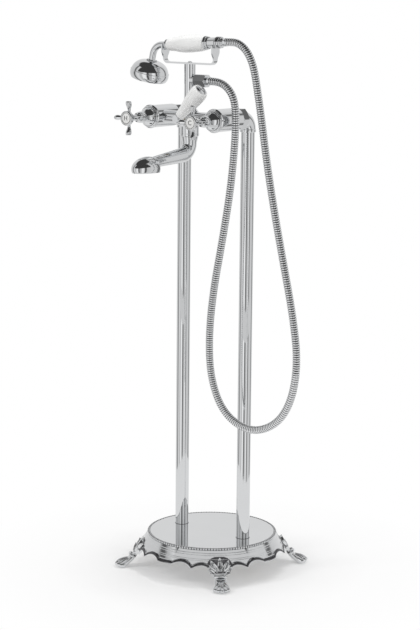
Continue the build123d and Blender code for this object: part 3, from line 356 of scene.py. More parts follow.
ring_place = np.array(ring_place)
look_along = 0.002
forward = on_route(ring_place + look_along) - on_route(ring_place - look_along)
forward /= np.linalg.norm(forward, axis=1)[:, None]
side = np.array([0.0, 1.0, 0.0])
other = np.cross(forward, side)
angle = np.linspace(0, 2 * math.pi, around, endpoint=False)[None, :, None]
spokes = np.cos(angle) * side[None, None, :] + np.sin(angle) * other[:, None, :]
rings = on_route(ring_place)[:, None, :] + np.array(ring_radius)[:, None, None] * spokes
print("ribs:", rib_count, "rings of points:", len(rings))


# %% Hose mesh
def skin(name, sections, joined_up=False):
    """A closed skin over rings of points, capped at both ends or else joined up into one round."""
    count = len(sections[0])
    points = [tuple(point) for section in sections for point in section]
    faces = []
    for row in range(len(sections) - (0 if joined_up else 1)):
        below, above = row * count, (row + 1) % len(sections) * count
        for place in range(count):
            following = (place + 1) % count
            faces.append((below + place, below + following, above + following, above + place))
    if not joined_up:
        faces.append(tuple(range(count))[::-1])
        faces.append(tuple((len(sections) - 1) * count + place for place in range(count)))
    mesh = bpy.data.meshes.new(name)
    mesh.from_pydata(points, [], faces)
    made = bpy.data.objects.new(name, mesh)
    bpy.context.scene.collection.objects.link(made)
    bpy.ops.object.select_all(action="DESELECT")
    made.select_set(True)
    bpy.context.view_layer.objects.active = made
    bpy.ops.object.mode_set(mode="EDIT")
    bpy.ops.mesh.select_all(action="SELECT")
    bpy.ops.mesh.normals_make_consistent(inside=False)
    bpy.ops.object.mode_set(mode="OBJECT")
    return made


ribbed_hose = skin("ribbed_hose", rings)
bpy.ops.object.shade_smooth()
groove = ribbed_hose.data.attributes.new("groove", "FLOAT", "POINT")
groove.data.foreach_set("value", np.repeat(np.array(ring_painted_shade), around).astype(np.float32))
print("hose triangles:", 2 * len(ribbed_hose.data.polygons))

# %% [markdown]
# The finish reads that attribute: the crowns are bright plate, and the grooves are painted nearly black as
# their shade, because little light gets out of them again.

# %% Hose finish
hose_metal, hose_shader = new_finish("hose_metal", 1.0, (0.78, 0.79, 0.80))
# the groove colour is painted shade
crown_colour, groove_shade_colour = (0.90, 0.91, 0.92), (0.05, 0.05, 0.053)
groove_value = hose_metal.node_tree.nodes.new("ShaderNodeAttribute")
groove_value.attribute_name = "groove"
vary(hose_metal, hose_shader.inputs["Base Color"], groove_value.outputs["Fac"],
     [(0.35, crown_colour), (0.85, groove_shade_colour)])
hose_smears = noise(hose_metal, place_on_object(hose_metal), per_metre=70, detail=4)
vary(hose_metal, hose_shader.inputs["Roughness"], hose_smears, [(0.3, 0.10), (0.75, 0.20)])
hose_grain = noise(hose_metal, place_on_object(hose_metal), per_metre=400, detail=2)
bump(hose_metal, hose_shader, hose_grain, strength=0.1, depth=0.0002)
ribbed_hose.data.materials.append(hose_metal)
print("hose finish:", hose_metal.name)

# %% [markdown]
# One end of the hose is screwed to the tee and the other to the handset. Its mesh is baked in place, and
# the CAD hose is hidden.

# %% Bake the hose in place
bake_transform(ribbed_hose)
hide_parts("shower_hose")
print("hose runs from", hose_points[0], "to", hose_points[-1])

# %% [markdown]
# ## Placing small pieces
#
# The ornaments that follow are turned or cast on their own and then set in place. Each one is modelled
# about the origin, its own Z pointing out of what it sits on, and is then moved by one matrix, so that its
# place ends up in its mesh.

# %% Helpers for pieces
def set_in_place(piece, matrix, finish, body):
    """Move a piece's mesh by a matrix, give it its finish and slot, and let it ride on a body."""
    piece.data.transform(matrix @ piece.matrix_world)
    piece.matrix_world = Matrix.Identity(4)
    piece.data.materials.clear()
    piece.data.materials.append(finish)
    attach(piece, body)


def facing_place(origin, outward, across):
    """The matrix whose Z points outward and whose X lies across, at origin."""
    outward = Vector(outward).normalized()
    across = Vector(across)
    across = (across - outward * across.dot(outward)).normalized()
    upward = outward.cross(across)
    return Matrix((
        (across.x, upward.x, outward.x, origin[0]),
        (across.y, upward.y, outward.y, origin[1]),
        (across.z, upward.z, outward.z, origin[2]),
        (0, 0, 0, 1),
    ))


def wire_ring(name, radius, wire, segments=96):
    """A round ring of wire in the XY plane."""
    bpy.ops.object.select_all(action="DESELECT")
    bpy.ops.mesh.primitive_torus_add(major_radius=radius, minor_radius=wire, major_segments=segments,
                                     minor_segments=10, location=(0, 0, 0))
    ring = bpy.context.object
    ring.name = name
    bpy.ops.object.shade_smooth()
    return ring


def block(name, length, width, height):
    """A box about the origin."""
    bpy.ops.object.select_all(action="DESELECT")
    bpy.ops.mesh.primitive_cube_add(size=1, location=(0, 0, 0))
    made = bpy.context.object
    made.name = name
    made.data.transform(Matrix.Diagonal((length, width, height, 1.0)))
    return made


def loft(name, sections, joined_up=False):
    """A skin over rings of points, smooth but for its sharp edges."""
    made = skin(name, sections, joined_up)
    bpy.ops.object.shade_smooth_by_angle(angle=math.radians(50))
    return made


def smooth_between(stations, rows):
    """Stations (tuples of numbers) resampled to rows by a smooth curve through them."""
    stations = np.array(stations, float)
    where = np.linspace(0, len(stations) - 1, rows)
    slopes = np.gradient(stations, axis=0)
    low = np.clip(where.astype(int), 0, len(stations) - 2)
    share = (where - low)[:, None]
    return ((2 * share ** 3 - 3 * share ** 2 + 1) * stations[low]
            + (share ** 3 - 2 * share ** 2 + share) * slopes[low]
            + (3 * share ** 2 - 2 * share ** 3) * stations[low + 1]
            + (share ** 3 - share ** 2) * slopes[low + 1])


# %% [markdown]
# ## Claw feet
#
# Each foot is a casting: a slender leg that leaves the skirt, a knot at the ankle, and a spread paw whose
# toes are rounded ridges. A leaf of pointed petals lies over the skirt above it. Free forms like these
# have no flat faces to extrude, so they are lofted through rings of points. The tables of the leg, the
# toes and the web are in millimetres, which read more easily at this size. One foot is modelled along X.

# %% Leg and toes
mm_per_metre = 1000


def tube_section(centre, forward, half_width, half_depth, around=24):
    """An oval ring of points about centre, square to forward in the foot's upright plane."""
    forward = np.array(forward, float) / np.linalg.norm(forward)
    square = np.array((forward[2], 0, -forward[0]))
    turns = np.linspace(0, 2 * math.pi, around, endpoint=False)
    return [np.array(centre) + math.cos(turn) * half_width * np.array((0, 1, 0))
            + math.sin(turn) * half_depth * square for turn in turns]


def oval_tube(name, stations, rows):
    """A loft of oval sections. Stations are (radius, height, half width, half depth, sideways), in mm."""
    line = smooth_between(stations, rows) / mm_per_metre
    sections = []
    for row, (radius, height, half_width, half_depth, sideways) in enumerate(line):
        near = line[max(row - 1, 0)]
        far = line[min(row + 1, rows - 1)]
        forward = (far[0] - near[0], 0, far[1] - near[1])
        sections.append(tube_section((radius, sideways, height), forward, half_width, half_depth))
    return loft(name, sections)


leg_stations = [
    (139.0, 38.0, 7.0, 1.2, 0), (143.4, 31.5, 10.0, 2.0, 0), (147.6, 25.6, 10.4, 3.8, 0),
    (152.2, 20.0, 10.2, 5.2, 0), (158.0, 14.6, 10.6, 6.0, 0), (165.0, 9.6, 12.0, 6.2, 0),
    (172.0, 6.6, 13.6, 5.4, 0), (177.5, 4.6, 12.0, 4.0, 0), (180.0, 3.4, 7.0, 2.6, 0),
]
# a toe's turn in radians and its reach from the ankle in mm
toes = [(-0.50, 27.0), (-0.25, 30.5), (0.0, 32.5), (0.25, 30.5), (0.50, 27.0)]
ankle_radius = 152.0
# share of the reach, then height, half width and half depth in mm
toe_stations = [
    (0.05, 17.5, 2.2, 3.5), (0.3, 14.0, 3.2, 5.2), (0.55, 10.6, 4.0, 6.6), (0.78, 7.2, 4.5, 7.0),
    (0.94, 4.8, 4.0, 5.4), (1.0, 2.6, 2.4, 3.0),
]


def toe(turn, reach):
    """One toe: a rounded ridge from the ankle to the ground."""
    return oval_tube("toe", [
        (ankle_radius + reach * share * math.cos(turn), height, half_width, half_depth,
         reach * share * math.sin(turn))
        for share, height, half_width, half_depth in toe_stations
    ], rows=22)


print("leg stations:", len(leg_stations), "toes:", len(toes))

# %% [markdown]
# A petal is a hollow dish with a raised rim and a midrib, so the polished edges catch the light and the
# hollows go dark. It is a grid of points: the outline gives its width at each row, and two ridges are
# added across each row. Five of them fan out from the knot.

# %% Petals
petal_rows, petal_columns = 24, 15
petal_lean = math.radians(57.5)
# the outline: where on a full leaf it starts, how far its widest place sits up, and how blunt it is
outline_start, outline_skew, outline_bluntness = 0.1, 0.85, 0.8
# across a row, where 1 is the edge: the rim's place, a ridge's width, the midrib's share of the rim
rim_place, ridge_width, rib_share = 0.82, 0.13, 0.75
edge_squareness = 8
# how deep the hollow is, how fast it fades at the tip and the root, and what is left at the root
hollow, tip_fade, root_fade, root_hollow = 0.62, 6, 5, 0.2
least_half_width = 0.0002
petal_arch, tip_lift, petal_back = 0.0016, 0.0022, 0.0012


def petal(root, turn, length, half_width, thickness):
    """A pointed dish of a leaf. It starts at root, leans back up the skirt and fans out by turn."""
    along_petal = np.array((-math.cos(petal_lean), 0, math.sin(petal_lean)))
    outward = np.array((math.sin(petal_lean), 0, math.cos(petal_lean)))
    across_petal = np.array((0, 1.0, 0))
    run = math.cos(turn) * along_petal + math.sin(turn) * across_petal
    span = -math.sin(turn) * along_petal + math.cos(turn) * across_petal
    sections = []
    for row in range(petal_rows):
        share = row / (petal_rows - 1)
        place = min(share * (1 - outline_start) + outline_start, 1.0)
        swell = max(math.sin(math.pi * place ** outline_skew), 0.0) ** outline_bluntness
        half = half_width * swell + least_half_width
        lift = petal_arch * math.sin(math.pi * share) + tip_lift * share ** 3
        fade = min(1.0, tip_fade * (1 - share)) * min(1.0, root_fade * share + root_hollow)
        upper, lower = [], []
        for column in range(petal_columns):
            cross = 2 * column / (petal_columns - 1) - 1
            rim = math.exp(-((abs(cross) - rim_place) / ridge_width) ** 2)
            rib = math.exp(-(cross / ridge_width) ** 2) * rib_share
            edge = math.sqrt(max(1 - cross ** edge_squareness, 0.0))
            height = thickness * edge * (1 - hollow * fade + hollow * fade * max(rim, rib)) + lift
            base = np.array(root) + run * length * share + span * half * cross
            upper.append(base + outward * height)
            lower.append(base - outward * petal_back)
        sections.append(upper + lower[::-1])
    return loft("petal", sections)


# root, turn, length, half width and thickness
petal_kinds = [
    ((0.1484, 0.0070, 0.0262), 0.86, 0.0200, 0.0054, 0.0030),
    ((0.1484, -0.0070, 0.0262), -0.86, 0.0200, 0.0054, 0.0030),
    ((0.1486, 0.0044, 0.0240), 0.42, 0.0310, 0.0068, 0.0036),
    ((0.1486, -0.0044, 0.0240), -0.42, 0.0310, 0.0068, 0.0036),
    ((0.1488, 0.0, 0.0235), 0.0, 0.0340, 0.0070, 0.0044),
]
print("petals on each foot:", len(petal_kinds))

# %% [markdown]
# Leg, knot, toes, petals and the screwed lug behind the skirt are joined into one foot, whose sole is
# pressed flat on the floor. Four of them stand round the base, each with a web of metal behind its leaf,
# painted dark as the shade that shows between the petals.

# %% Join one foot and set four round the base
def join_pieces(name, pieces):
    """One object from several."""
    bpy.ops.object.select_all(action="DESELECT")
    for piece in pieces:
        piece.select_set(True)
    bpy.context.view_layer.objects.active = pieces[0]
    bpy.ops.object.join()
    joined = bpy.context.object
    joined.name = name
    return joined


def knot():
    """The flattened ring of cord that ties leaf and paw at the ankle."""
    ring = wire_ring("knot", radius=0.0105, wire=0.0026, segments=48)
    ring.data.transform(Matrix.Diagonal((0.62, 1.0, 1.0, 1.0)))
    ankle = facing_place(origin=(0.1535, 0, 0.0225), outward=(-0.60, 0, 0.80), across=(0.80, 0, 0.60))
    ring.data.transform(ankle)
    return ring


def tang():
    """The flat lug inside the skirt that takes the two screws."""
    lug = block("tang", length=0.036, width=0.020, height=0.0060)
    inner_wall = facing_place(origin=(0.1368, 0, 0.0366), outward=(-0.763, 0, -0.647), across=(0, 1, 0))
    lug.data.transform(inner_wall)
    return lug


web_stations = [
    (128.6, 54.5, 10.0, 0.8, 0), (130.4, 51.0, 17.5, 1.4, 0), (134.4, 45.0, 22.5, 2.0, 0),
    (138.6, 38.5, 24.0, 2.2, 0), (142.2, 33.0, 18.5, 2.4, 0), (145.2, 28.5, 14.6, 3.0, 0),
    (148.0, 24.4, 12.0, 3.8, 0), (150.6, 21.0, 10.6, 4.4, 0),
]


def claw_foot(name):
    """A whole foot that points along X, flat on the floor."""
    pieces = [oval_tube("leg", leg_stations, rows=40), knot(), tang()]
    pieces += [toe(turn, reach) for turn, reach in toes]
    pieces += [petal(*kind) for kind in petal_kinds]
    whole = join_pieces(name, pieces)
    for point in whole.data.vertices:
        point.co.z = max(point.co.z, 0.0)
    return whole


for corner, degrees in (("front_left", -135), ("front_right", -45), ("rear_left", 135), ("rear_right", 45)):
    round_base = Matrix.Rotation(math.radians(degrees), 4, "Z")
    # the web behind the leaf is painted shade between the petals
    set_in_place(oval_tube("web_" + corner, web_stations, rows=30), round_base, painted_shade_chrome, "stand")
    foot = claw_foot("claw_" + corner)
    set_in_place(foot, round_base, cast_chrome, "stand")
    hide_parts("foot_" + corner)
print("feet:", len(foot.data.polygons), "faces each")

# %% [markdown]
# ## Mouldings of the skirt
#
# Thin raised lines run round the skirt under the beads. A ray cast at the CAD skirt says how far out the
# surface is at each height, so each ring is let into it by half its wire.

# %% Rings round the skirt
skirt_node = bpy.data.objects["base_skirt"]
outside, off_seam = 0.3, 0.004
# each row is a ring's height and the radius of its wire
mouldings = [(0.0598, 0.0009), (0.0565, 0.0006), (0.0505, 0.0006), (0.0480, 0.0006)]
for number, (height, wire) in enumerate(mouldings):
    spot = skirt_node.ray_cast(Vector((outside, off_seam, height)), Vector((-1, 0, 0)))[1]
    ring = wire_ring(f"skirt_line_{number}", math.hypot(spot.x, spot.y), wire, segments=192)
    set_in_place(ring, Matrix.Translation((0, 0, height)), polished_chrome, "stand")
    print("moulding at", height, "radius", round(math.hypot(spot.x, spot.y), 4))

# %% [markdown]
# The skirt's lower edge runs in scallops, with a cove along it painted dark as its shade, and a bright
# bead above the cove. Rays cast at the CAD skirt find its edge at each step round the base, and both strips
# are drawn along it, a hair proud of the surface.

# %% Find the scalloped edge
steps_round = 720
turns_round = [2 * math.pi * step / steps_round for step in range(steps_round)]
inside_skirt = 0.11
edge_lowest, edge_highest, halvings = 0.020, 0.056, 12


def skirt_surface(turn, height):
    """The skirt's outer point at this angle and height, or None below its edge."""
    outward = Vector((math.cos(turn), math.sin(turn), 0))
    hit, spot = skirt_node.ray_cast(outward * outside + Vector((0, 0, height)), -outward)[:2]
    if not hit or math.hypot(spot.x, spot.y) < inside_skirt or spot.dot(outward) < inside_skirt:
        return None
    return spot


def skirt_edge(turn):
    """The height of the skirt's lower edge at this angle."""
    low, high = edge_lowest, edge_highest
    for _ in range(halvings):
        between = (low + high) / 2
        if skirt_surface(turn, between) is None:
            low = between
        else:
            high = between
    return high


edge_heights = [skirt_edge(turn) for turn in turns_round]
print("edge heights:", round(min(edge_heights), 4), "to", round(max(edge_heights), 4))

# %% Border along the scallops
border_top = 0.058
strip_shares = np.linspace(0, 1, 5)
swell_at_edge, strip_sink = 0.25, 0.0008


def border_strip(name, first, last, proud, finish):
    """A thin strip along the scalloped edge, from first to last above it."""
    sections = []
    for turn, edge_height in zip(turns_round, edge_heights):
        outward = Vector((math.cos(turn), math.sin(turn), 0))
        outer, inner = [], []
        for share in strip_shares:
            spot = skirt_surface(turn, min(edge_height + first + (last - first) * share, border_top))
            swell = proud * (swell_at_edge + (1 - swell_at_edge) * math.sin(math.pi * share))
            outer.append(spot + outward * swell)
            inner.append(spot - outward * strip_sink)
        sections.append(outer + inner[::-1])
    set_in_place(loft(name, sections, joined_up=True), Matrix.Identity(4), finish, "stand")


# the cove strip is chrome painted dark as the cove's shade
border_strip("skirt_cove", first=0.0010, last=0.0048, proud=0.0006, finish=painted_shade_chrome)
border_strip("skirt_edge_line", first=0.0050, last=0.0062, proud=0.0011, finish=polished_chrome)
print("border strips:", steps_round, "steps round")

# %% [markdown]
# The beads above stand in a groove, and a ring painted dark as its shade lies between them.

# %% Painted shade between the beads
bead_seat_height = 0.0669
bead_seat = wire_ring("bead_seat", radius=0.1215, wire=0.00190, segments=192)
set_in_place(bead_seat, Matrix.Translation((0, 0, bead_seat_height)), painted_shade_chrome, "stand")
print("bead seat at", bead_seat_height)

# %% [markdown]
# ## Joint lines
#
# Where two turned pieces meet, or a step is cut in one, a fine line of shade falls. Each is a thin ring of
# chrome painted dark as that shade, let into the corner of the step, so that it shows from every side.

# %% Rings in the steps of turned pieces
line_wire = 0.0004
skyward, frontward = Vector((0, 0, 1)), Vector((0, -1, 0))
# how far along its axis each step lies, and its radius
shroud_steps = [(0.0004, 0.0206), (0.0042, 0.0184), (0.0083, 0.0172)]
grip_steps = [(0.0452, 0.0097), (0.0622, 0.0097), (0.0668, 0.0096), (0.0701, 0.0100)]
pipe_foot_height, pipe_foot_radius, pipe_top_radius = 0.0686, 0.0130, 0.0129
grip_lean = math.radians(3.5)
grip_way = Vector((math.cos(grip_lean), 0, math.sin(grip_lean)))
grip_centre = Vector((0, hose_back, 0.997))

joint_lines = []
for side in ("left", "right"):
    low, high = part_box("bonnet_shroud_" + side)
    shroud_centre = Vector(((low.x + high.x) / 2, high.y, (low.z + high.z) / 2))
    for reach_out, radius in shroud_steps:
        joint_lines.append(("stand", shroud_centre + Vector((0, -reach_out, 0)), frontward, radius))
    low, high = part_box("standpipe_" + side)
    pipe_centre = Vector(((low.x + high.x) / 2, (low.y + high.y) / 2, 0))
    elbow_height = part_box("elbow_" + side)[0].z
    for height, radius in ((pipe_foot_height, pipe_foot_radius), (elbow_height, pipe_top_radius)):
        joint_lines.append(("stand", pipe_centre + Vector((0, 0, height)), skyward, radius))
for along_grip, radius in grip_steps:
    joint_lines.append(("handset", grip_centre + grip_way * along_grip, grip_way, radius))
for number, (body, centre, outward, radius) in enumerate(joint_lines):
    # each ring is painted shade in the corner of a step
    line_ring = wire_ring(f"joint_line_{number}", radius, line_wire)
    across = (0, 1, 0) if abs(outward.y) < 0.5 else (1, 0, 0)
    set_in_place(line_ring, facing_place(centre, outward, across), painted_shade_chrome, body)
print("joint lines:", len(joint_lines))

# %% [markdown]
# ## Details of the handset
#
# Where the neck meets the bell sits a collar of small beads, and a thin line runs round the bell above its
# lip. Both are set square to the bell's own axis, which leans a little outwards.

# %% Bell collar and line
bell_lean = math.radians(13.5)
bell_origin = Vector((-0.090374, hose_back, 0.965815))
bell_down = Vector((-math.sin(bell_lean), 0, -math.cos(bell_lean)))
collar_count, collar_radius, collar_bead_radius, collar_drop = 22, 0.0088, 0.00135, 0.0022
bell_line_drop = 0.0230


def on_bell(drop):
    """The place on the bell's axis at this drop below its collar."""
    return facing_place(bell_origin + bell_down * drop, bell_down, (0, 1, 0))


collar_beads = []
for number in range(collar_count):
    bpy.ops.object.select_all(action="DESELECT")
    bpy.ops.mesh.primitive_uv_sphere_add(segments=12, ring_count=8, radius=collar_bead_radius,
                                         location=(0, 0, 0))
    bead = bpy.context.object
    bpy.ops.object.shade_smooth()
    turn = 2 * math.pi * number / collar_count
    spot = (collar_radius * math.cos(turn), collar_radius * math.sin(turn), 0)
    bead.data.transform(Matrix.Translation(spot))
    collar_beads.append(bead)
set_in_place(join_pieces("bell_collar_beads", collar_beads), on_bell(collar_drop), polished_chrome, "handset")
bell_line = wire_ring("bell_line", radius=0.0353, wire=0.0007, segments=128)
set_in_place(bell_line, on_bell(bell_line_drop), polished_chrome, "handset")
print("bell collar:", collar_count, "beads")

# %% [markdown]
# ## Index discs and the lever's cap
#
# Each valve carries a white enamelled disc with one letter: H for hot on the left, C for cold on the right.
# A dark ring round the disc is painted shade of the groove there. The letters are plain type, made mesh, and
# sunk a little into the dome. The lever's chrome cap has the slot of the screw that holds the ceramic on its
# rod, a dark block painted as the shade in the slot.

# %% Dark print and painted shade
dark_print_and_shade, dark_shader = new_finish("dark_print_and_shade", 0.0, (0.02, 0.02, 0.022))
dark_cloud = noise(dark_print_and_shade, place_on_object(dark_print_and_shade), per_metre=300, detail=3)
vary(dark_print_and_shade, dark_shader.inputs["Roughness"], dark_cloud, [(0.3, 0.18), (0.7, 0.30)])
print("letters and slot:", dark_print_and_shade.name)

# %% Letters and rings
letter_size, letter_depth, letter_sink = 0.0115, 0.0003, 0.0002
index_radius, index_wire, index_sink = 0.0096, 0.00035, 0.00092
for side, letter, body in (("left", "H", "hot_handle"), ("right", "C", "cold_handle")):
    low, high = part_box("index_button_" + side)
    middle_x, middle_z, front = (low.x + high.x) / 2, (low.z + high.z) / 2, low.y
    bpy.ops.object.select_all(action="DESELECT")
    bpy.ops.object.text_add(location=(0, 0, 0))
    sign = bpy.context.object
    sign.name = "letter_" + side
    sign.data.body = letter
    sign.data.size = letter_size
    sign.data.align_x = "CENTER"
    sign.data.align_y = "CENTER"
    sign.data.extrude = letter_depth
    bpy.ops.object.convert(target="MESH")
    sign = bpy.context.object
    place = facing_place((middle_x, front + letter_sink, middle_z), (0, -1, 0), (1, 0, 0))
    set_in_place(sign, place, dark_print_and_shade, body)
    # the dark ring is painted shade of the groove round the disc
    ring = wire_ring("index_ring_" + side, index_radius, index_wire)
    place = facing_place((middle_x, front + index_sink, middle_z), (0, -1, 0), (1, 0, 0))
    set_in_place(ring, place, dark_print_and_shade, body)
    print("letter", letter, "on", body)

# %% Slot in the lever's cap
lever_way = Vector((math.sqrt(0.5), 0, math.sqrt(0.5)))
hub_centre = Vector((0, -0.1115, 0.863))
slot_sink = 0.00055
cap_points = [Vector(v.co) for v in bpy.data.objects["lever_cap"].data.vertices]
cap_reach = max((point - hub_centre).dot(lever_way) for point in cap_points)
# the slot is a dark block, painted shade for the screw's slot
cap_slot = block("lever_cap_slot", length=0.0085, width=0.0013, height=0.0012)
slot_place = facing_place(hub_centre + lever_way * (cap_reach - slot_sink), lever_way, (0, 1, 0))
set_in_place(cap_slot, slot_place, dark_print_and_shade, "diverter_lever")
print("cap reaches", round(cap_reach, 4), "from the hub")

# %% [markdown]
# ## The room that the chrome reflects
#
# Chrome has no colour of its own: it shows what stands round it. A product photographer gives it a bright
# room with grey walls, white strips and narrow dark cards, so that every pipe gets thin upright lines, and
# a dark ceiling, which draws the black shapes on domes and mouldings. Here the world shader is that room,
# written as stops round the compass. The camera itself sees plain white, and soft light falls on the rest.

# %% World helpers
world = bpy.data.worlds.new("studio")
bpy.context.scene.world = world
bpy.context.scene.view_settings.view_transform = "Standard"
world.use_nodes = True
world_nodes, world_links = world.node_tree.nodes, world.node_tree.links
world_nodes.clear()


def world_input(socket, value):
    """Feed a socket with another node's output, or else set it to a number or that grey."""
    if isinstance(value, (int, float)):
        socket.default_value = (value, value, value, 1) if socket.type == "RGBA" else value
    else:
        world_links.new(value, socket)


def world_math(operation, first, second):
    """A Math node in the world shader, of numbers or outputs."""
    node = world_nodes.new("ShaderNodeMath")
    node.operation = operation
    for socket, value in zip(node.inputs, (first, second)):
        world_input(socket, value)
    return node.outputs["Value"]


def world_ramp(factor, stops):
    """A grey ramp in the world shader."""
    node = world_nodes.new("ShaderNodeValToRGB")
    while len(node.color_ramp.elements) < len(stops):
        node.color_ramp.elements.new(0.5)
    for element, (position, grey) in zip(node.color_ramp.elements, stops):
        element.position = position
        element.color = (grey, grey, grey, 1)
    world_links.new(factor, node.inputs["Fac"])
    return node.outputs["Color"]


def world_mix(factor, first, second):
    """Mix two colours or greys in the world shader."""
    node = world_nodes.new("ShaderNodeMixRGB")
    world_links.new(factor, node.inputs["Fac"])
    world_input(node.inputs["Color1"], first)
    world_input(node.inputs["Color2"], second)
    return node.outputs["Color"]


# %% Walls and ceiling
direction = world_nodes.new("ShaderNodeTexCoord").outputs["Generated"]
split = world_nodes.new("ShaderNodeSeparateXYZ")
world_links.new(direction, split.inputs["Vector"])
compass = world_math("ARCTAN2", split.outputs["Y"], split.outputs["X"])
compass_share = world_math("DIVIDE", world_math("ADD", compass, math.pi), 2 * math.pi)

# degrees to the right of the camera, seen from the mixer, and the grey there
cards = [
    (-128, 0.68), (-108, 0.66), (-101, 0.12), (-95, 0.12), (-90, 0.48), (-78, 0.78), (-62, 0.78),
    (-56, 0.58), (-43, 0.58), (-38, 1.0), (-20, 1.0), (-14, 0.52), (-10, 0.06), (-4, 0.06), (2, 0.5),
    (16, 0.5), (21, 0.95), (35, 0.95), (41, 0.45), (45, 0.07), (50, 0.07), (55, 0.6), (78, 0.72),
    (108, 0.7), (112, 0.15), (118, 0.15), (123, 0.66), (150, 0.8), (190, 0.76), (231, 0.68),
]
camera_compass = math.degrees(math.atan2(level_back.y, level_back.x))
room = world_ramp(compass_share, [((camera_compass + degrees + 180) / 360, grey) for degrees, grey in cards])
height_share = world_math("MULTIPLY", world_math("ADD", split.outputs["Z"], 1.0), 0.5)
ceiling = world_ramp(height_share, [(0.0, 0.0), (0.88, 0.0), (0.915, 1.0), (1.0, 1.0)])
print("room has", len(cards), "compass stops")

# %% [markdown]
# A dark awning hangs over the camera too, and domes and mouldings mirror it as their near-black shapes.
# Both are laid over the walls. Then the kinds of ray are told apart: mirrors see the room, the camera sees
# white, and everything else gets an even grey light.

# %% Awning and rays
room_dark, soft_light, backdrop = 0.05, 0.62, 1.0
towards_camera = world_math("ADD", world_math("MULTIPLY", split.outputs["X"], level_back.x),
                            world_math("MULTIPLY", split.outputs["Y"], level_back.y))
awning = world_math("MULTIPLY", world_ramp(towards_camera, [(0.20, 0.0), (0.28, 1.0)]),
                    world_ramp(split.outputs["Z"], [(0.27, 0.0), (0.33, 1.0)]))
room = world_mix(world_math("MAXIMUM", ceiling, awning), room, room_dark)
seen_by = world_nodes.new("ShaderNodeLightPath").outputs
mirrored = world_math("MAXIMUM", seen_by["Is Glossy Ray"], seen_by["Is Transmission Ray"])
lit = world_mix(mirrored, soft_light, room)
sky = world_nodes.new("ShaderNodeBackground")
world_links.new(world_mix(seen_by["Is Camera Ray"], lit, backdrop), sky.inputs["Color"])
world_links.new(sky.outputs["Background"], world_nodes.new("ShaderNodeOutputWorld").inputs["Surface"])
print("world nodes:", len(world_nodes))

# %% [markdown]
# Three soft lamps light the ceramic, the rubber and the floor. They are hidden from mirror rays, or their
# squares would show in the chrome, so the metal is lit by the room alone.

# %% Lamps
def softbox(name, place, target, size, watts):
    """A soft lamp that faces target."""
    lamp = bpy.data.lights.new(name, "AREA")
    lamp.shape = "RECTANGLE"
    lamp.size, lamp.size_y = size
    lamp.energy = watts
    holder = bpy.data.objects.new(name, lamp)
    bpy.context.scene.collection.objects.link(holder)
    holder.location = place
    holder.visible_glossy = False
    holder.rotation_euler = (Vector(target) - Vector(place)).to_track_quat("-Z", "Y").to_euler()


softbox("key_softbox", place=(-1.3, -2.2, 2.3), target=(0, 0, 0.7), size=(0.7, 1.3), watts=22)
softbox("fill_softbox", place=(2.5, -0.4, 1.9), target=(0, 0, 0.7), size=(0.5, 1.2), watts=10)
softbox("top_softbox", place=(0.1, 0.5, 2.7), target=(0, 0, 0.5), size=(1.3, 0.7), watts=16)
print("lamps:", len(bpy.data.lights))

# %% [markdown]
# The base sits under the dark ceiling too, and would go black with it. So a white card is held low in front
# of the base, where only metal sees it, and lights the skirt and the front paws.

# %% Low white card
card_forward, card_height, card_depth, card_strength = 0.37, 0.42, 0.34, 0.68
bpy.ops.object.select_all(action="DESELECT")
bpy.ops.mesh.primitive_plane_add(size=1, location=(0, 0, 0))
low_card = bpy.context.object
low_card.name = "low_card"
card_centre = level_back * card_forward + Vector((0, 0, card_height))
low_card.data.transform(Matrix.Diagonal((1.0, card_depth, 1.0, 1.0)))
low_card.data.transform(facing_place(card_centre, (0, 0, -1), level_right))
card_paint = bpy.data.materials.new("card_paint")
card_paint.use_nodes = True
card_nodes, card_links = card_paint.node_tree.nodes, card_paint.node_tree.links
card_glow = card_nodes.new("ShaderNodeEmission")
card_glow.inputs["Strength"].default_value = card_strength
card_links.new(card_glow.outputs["Emission"], card_nodes["Material Output"].inputs["Surface"])
low_card.data.materials.append(card_paint)
low_card.visible_camera = False
low_card.visible_diffuse = False
low_card.visible_shadow = False
print("card held at", [round(v, 3) for v in card_centre])

# %% [markdown]
# ## Floor
#
# The floor is a round sheet with room for the mixer's shadow and little more, so the pipes reflect the room
# beyond it. Its edge has to vanish into the white. So the paint fades from plain diffuse white, which holds
# the shadow at the feet, to a glow at the rim: exactly the background's white for the camera, and a light
# grey for the metal that mirrors it.

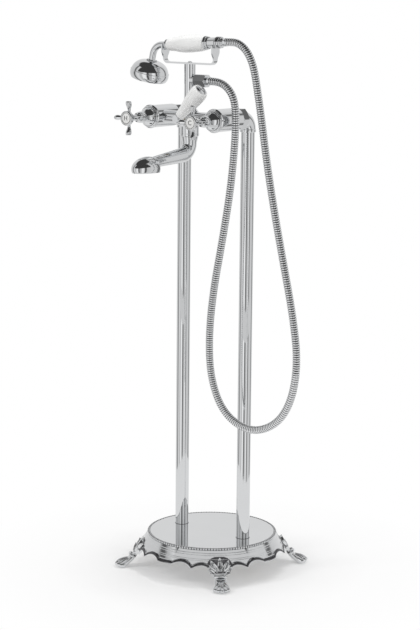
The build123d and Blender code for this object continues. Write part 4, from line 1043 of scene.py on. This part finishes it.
# %% Floor
floor_radius = 0.75
# distance from the centre, and the share of glow there
fade_stops = [(0.17, 0.25), (0.30, 0.8), (0.50, 1.0)]
mirrored_glow, seen_glow = 0.82, 1.0
bpy.ops.object.select_all(action="DESELECT")
bpy.ops.mesh.primitive_circle_add(vertices=96, radius=floor_radius, fill_type="NGON", location=(0, 0, 0))
floor = bpy.context.object
floor.name = "floor"
floor_paint, floor_shader = new_finish("floor_paint", 0.0, (0.93, 0.93, 0.93))
floor_shader.inputs["Roughness"].default_value = 0.8
floor_nodes, floor_links = floor_paint.node_tree.nodes, floor_paint.node_tree.links
floor_place = place_on_object(floor_paint)
floor_cloud = noise(floor_paint, floor_place, per_metre=6, detail=3)
vary(floor_paint, floor_shader.inputs["Base Color"], floor_cloud, [(0.3, 0.92), (0.7, 0.95)])
from_centre = floor_nodes.new("ShaderNodeVectorMath")
from_centre.operation = "LENGTH"
floor_links.new(floor_place, from_centre.inputs[0])
fade = ramp(floor_paint, from_centre.outputs["Value"], fade_stops)
glow = floor_nodes.new("ShaderNodeEmission")
floor_path = floor_nodes.new("ShaderNodeLightPath").outputs
vary(floor_paint, glow.inputs["Color"], floor_path["Is Camera Ray"], [(0.0, mirrored_glow), (1.0, seen_glow)])


def floor_math(operation, first, second):
    """A Math node in the floor's paint."""
    node = floor_nodes.new("ShaderNodeMath")
    node.operation = operation
    floor_links.new(first, node.inputs[0])
    floor_links.new(second, node.inputs[1])
    return node.outputs["Value"]


shown = floor_math("MAXIMUM", floor_path["Is Camera Ray"], floor_path["Is Glossy Ray"])
paint_mix = floor_nodes.new("ShaderNodeMixShader")
floor_links.new(floor_math("MULTIPLY", fade, shown), paint_mix.inputs["Fac"])
floor_links.new(floor_shader.outputs["BSDF"], paint_mix.inputs[1])
floor_links.new(glow.outputs["Emission"], paint_mix.inputs[2])
floor_links.new(paint_mix.outputs["Shader"], floor_nodes["Material Output"].inputs["Surface"])
floor.data.materials.append(floor_paint)
print("floor radius:", floor_radius)
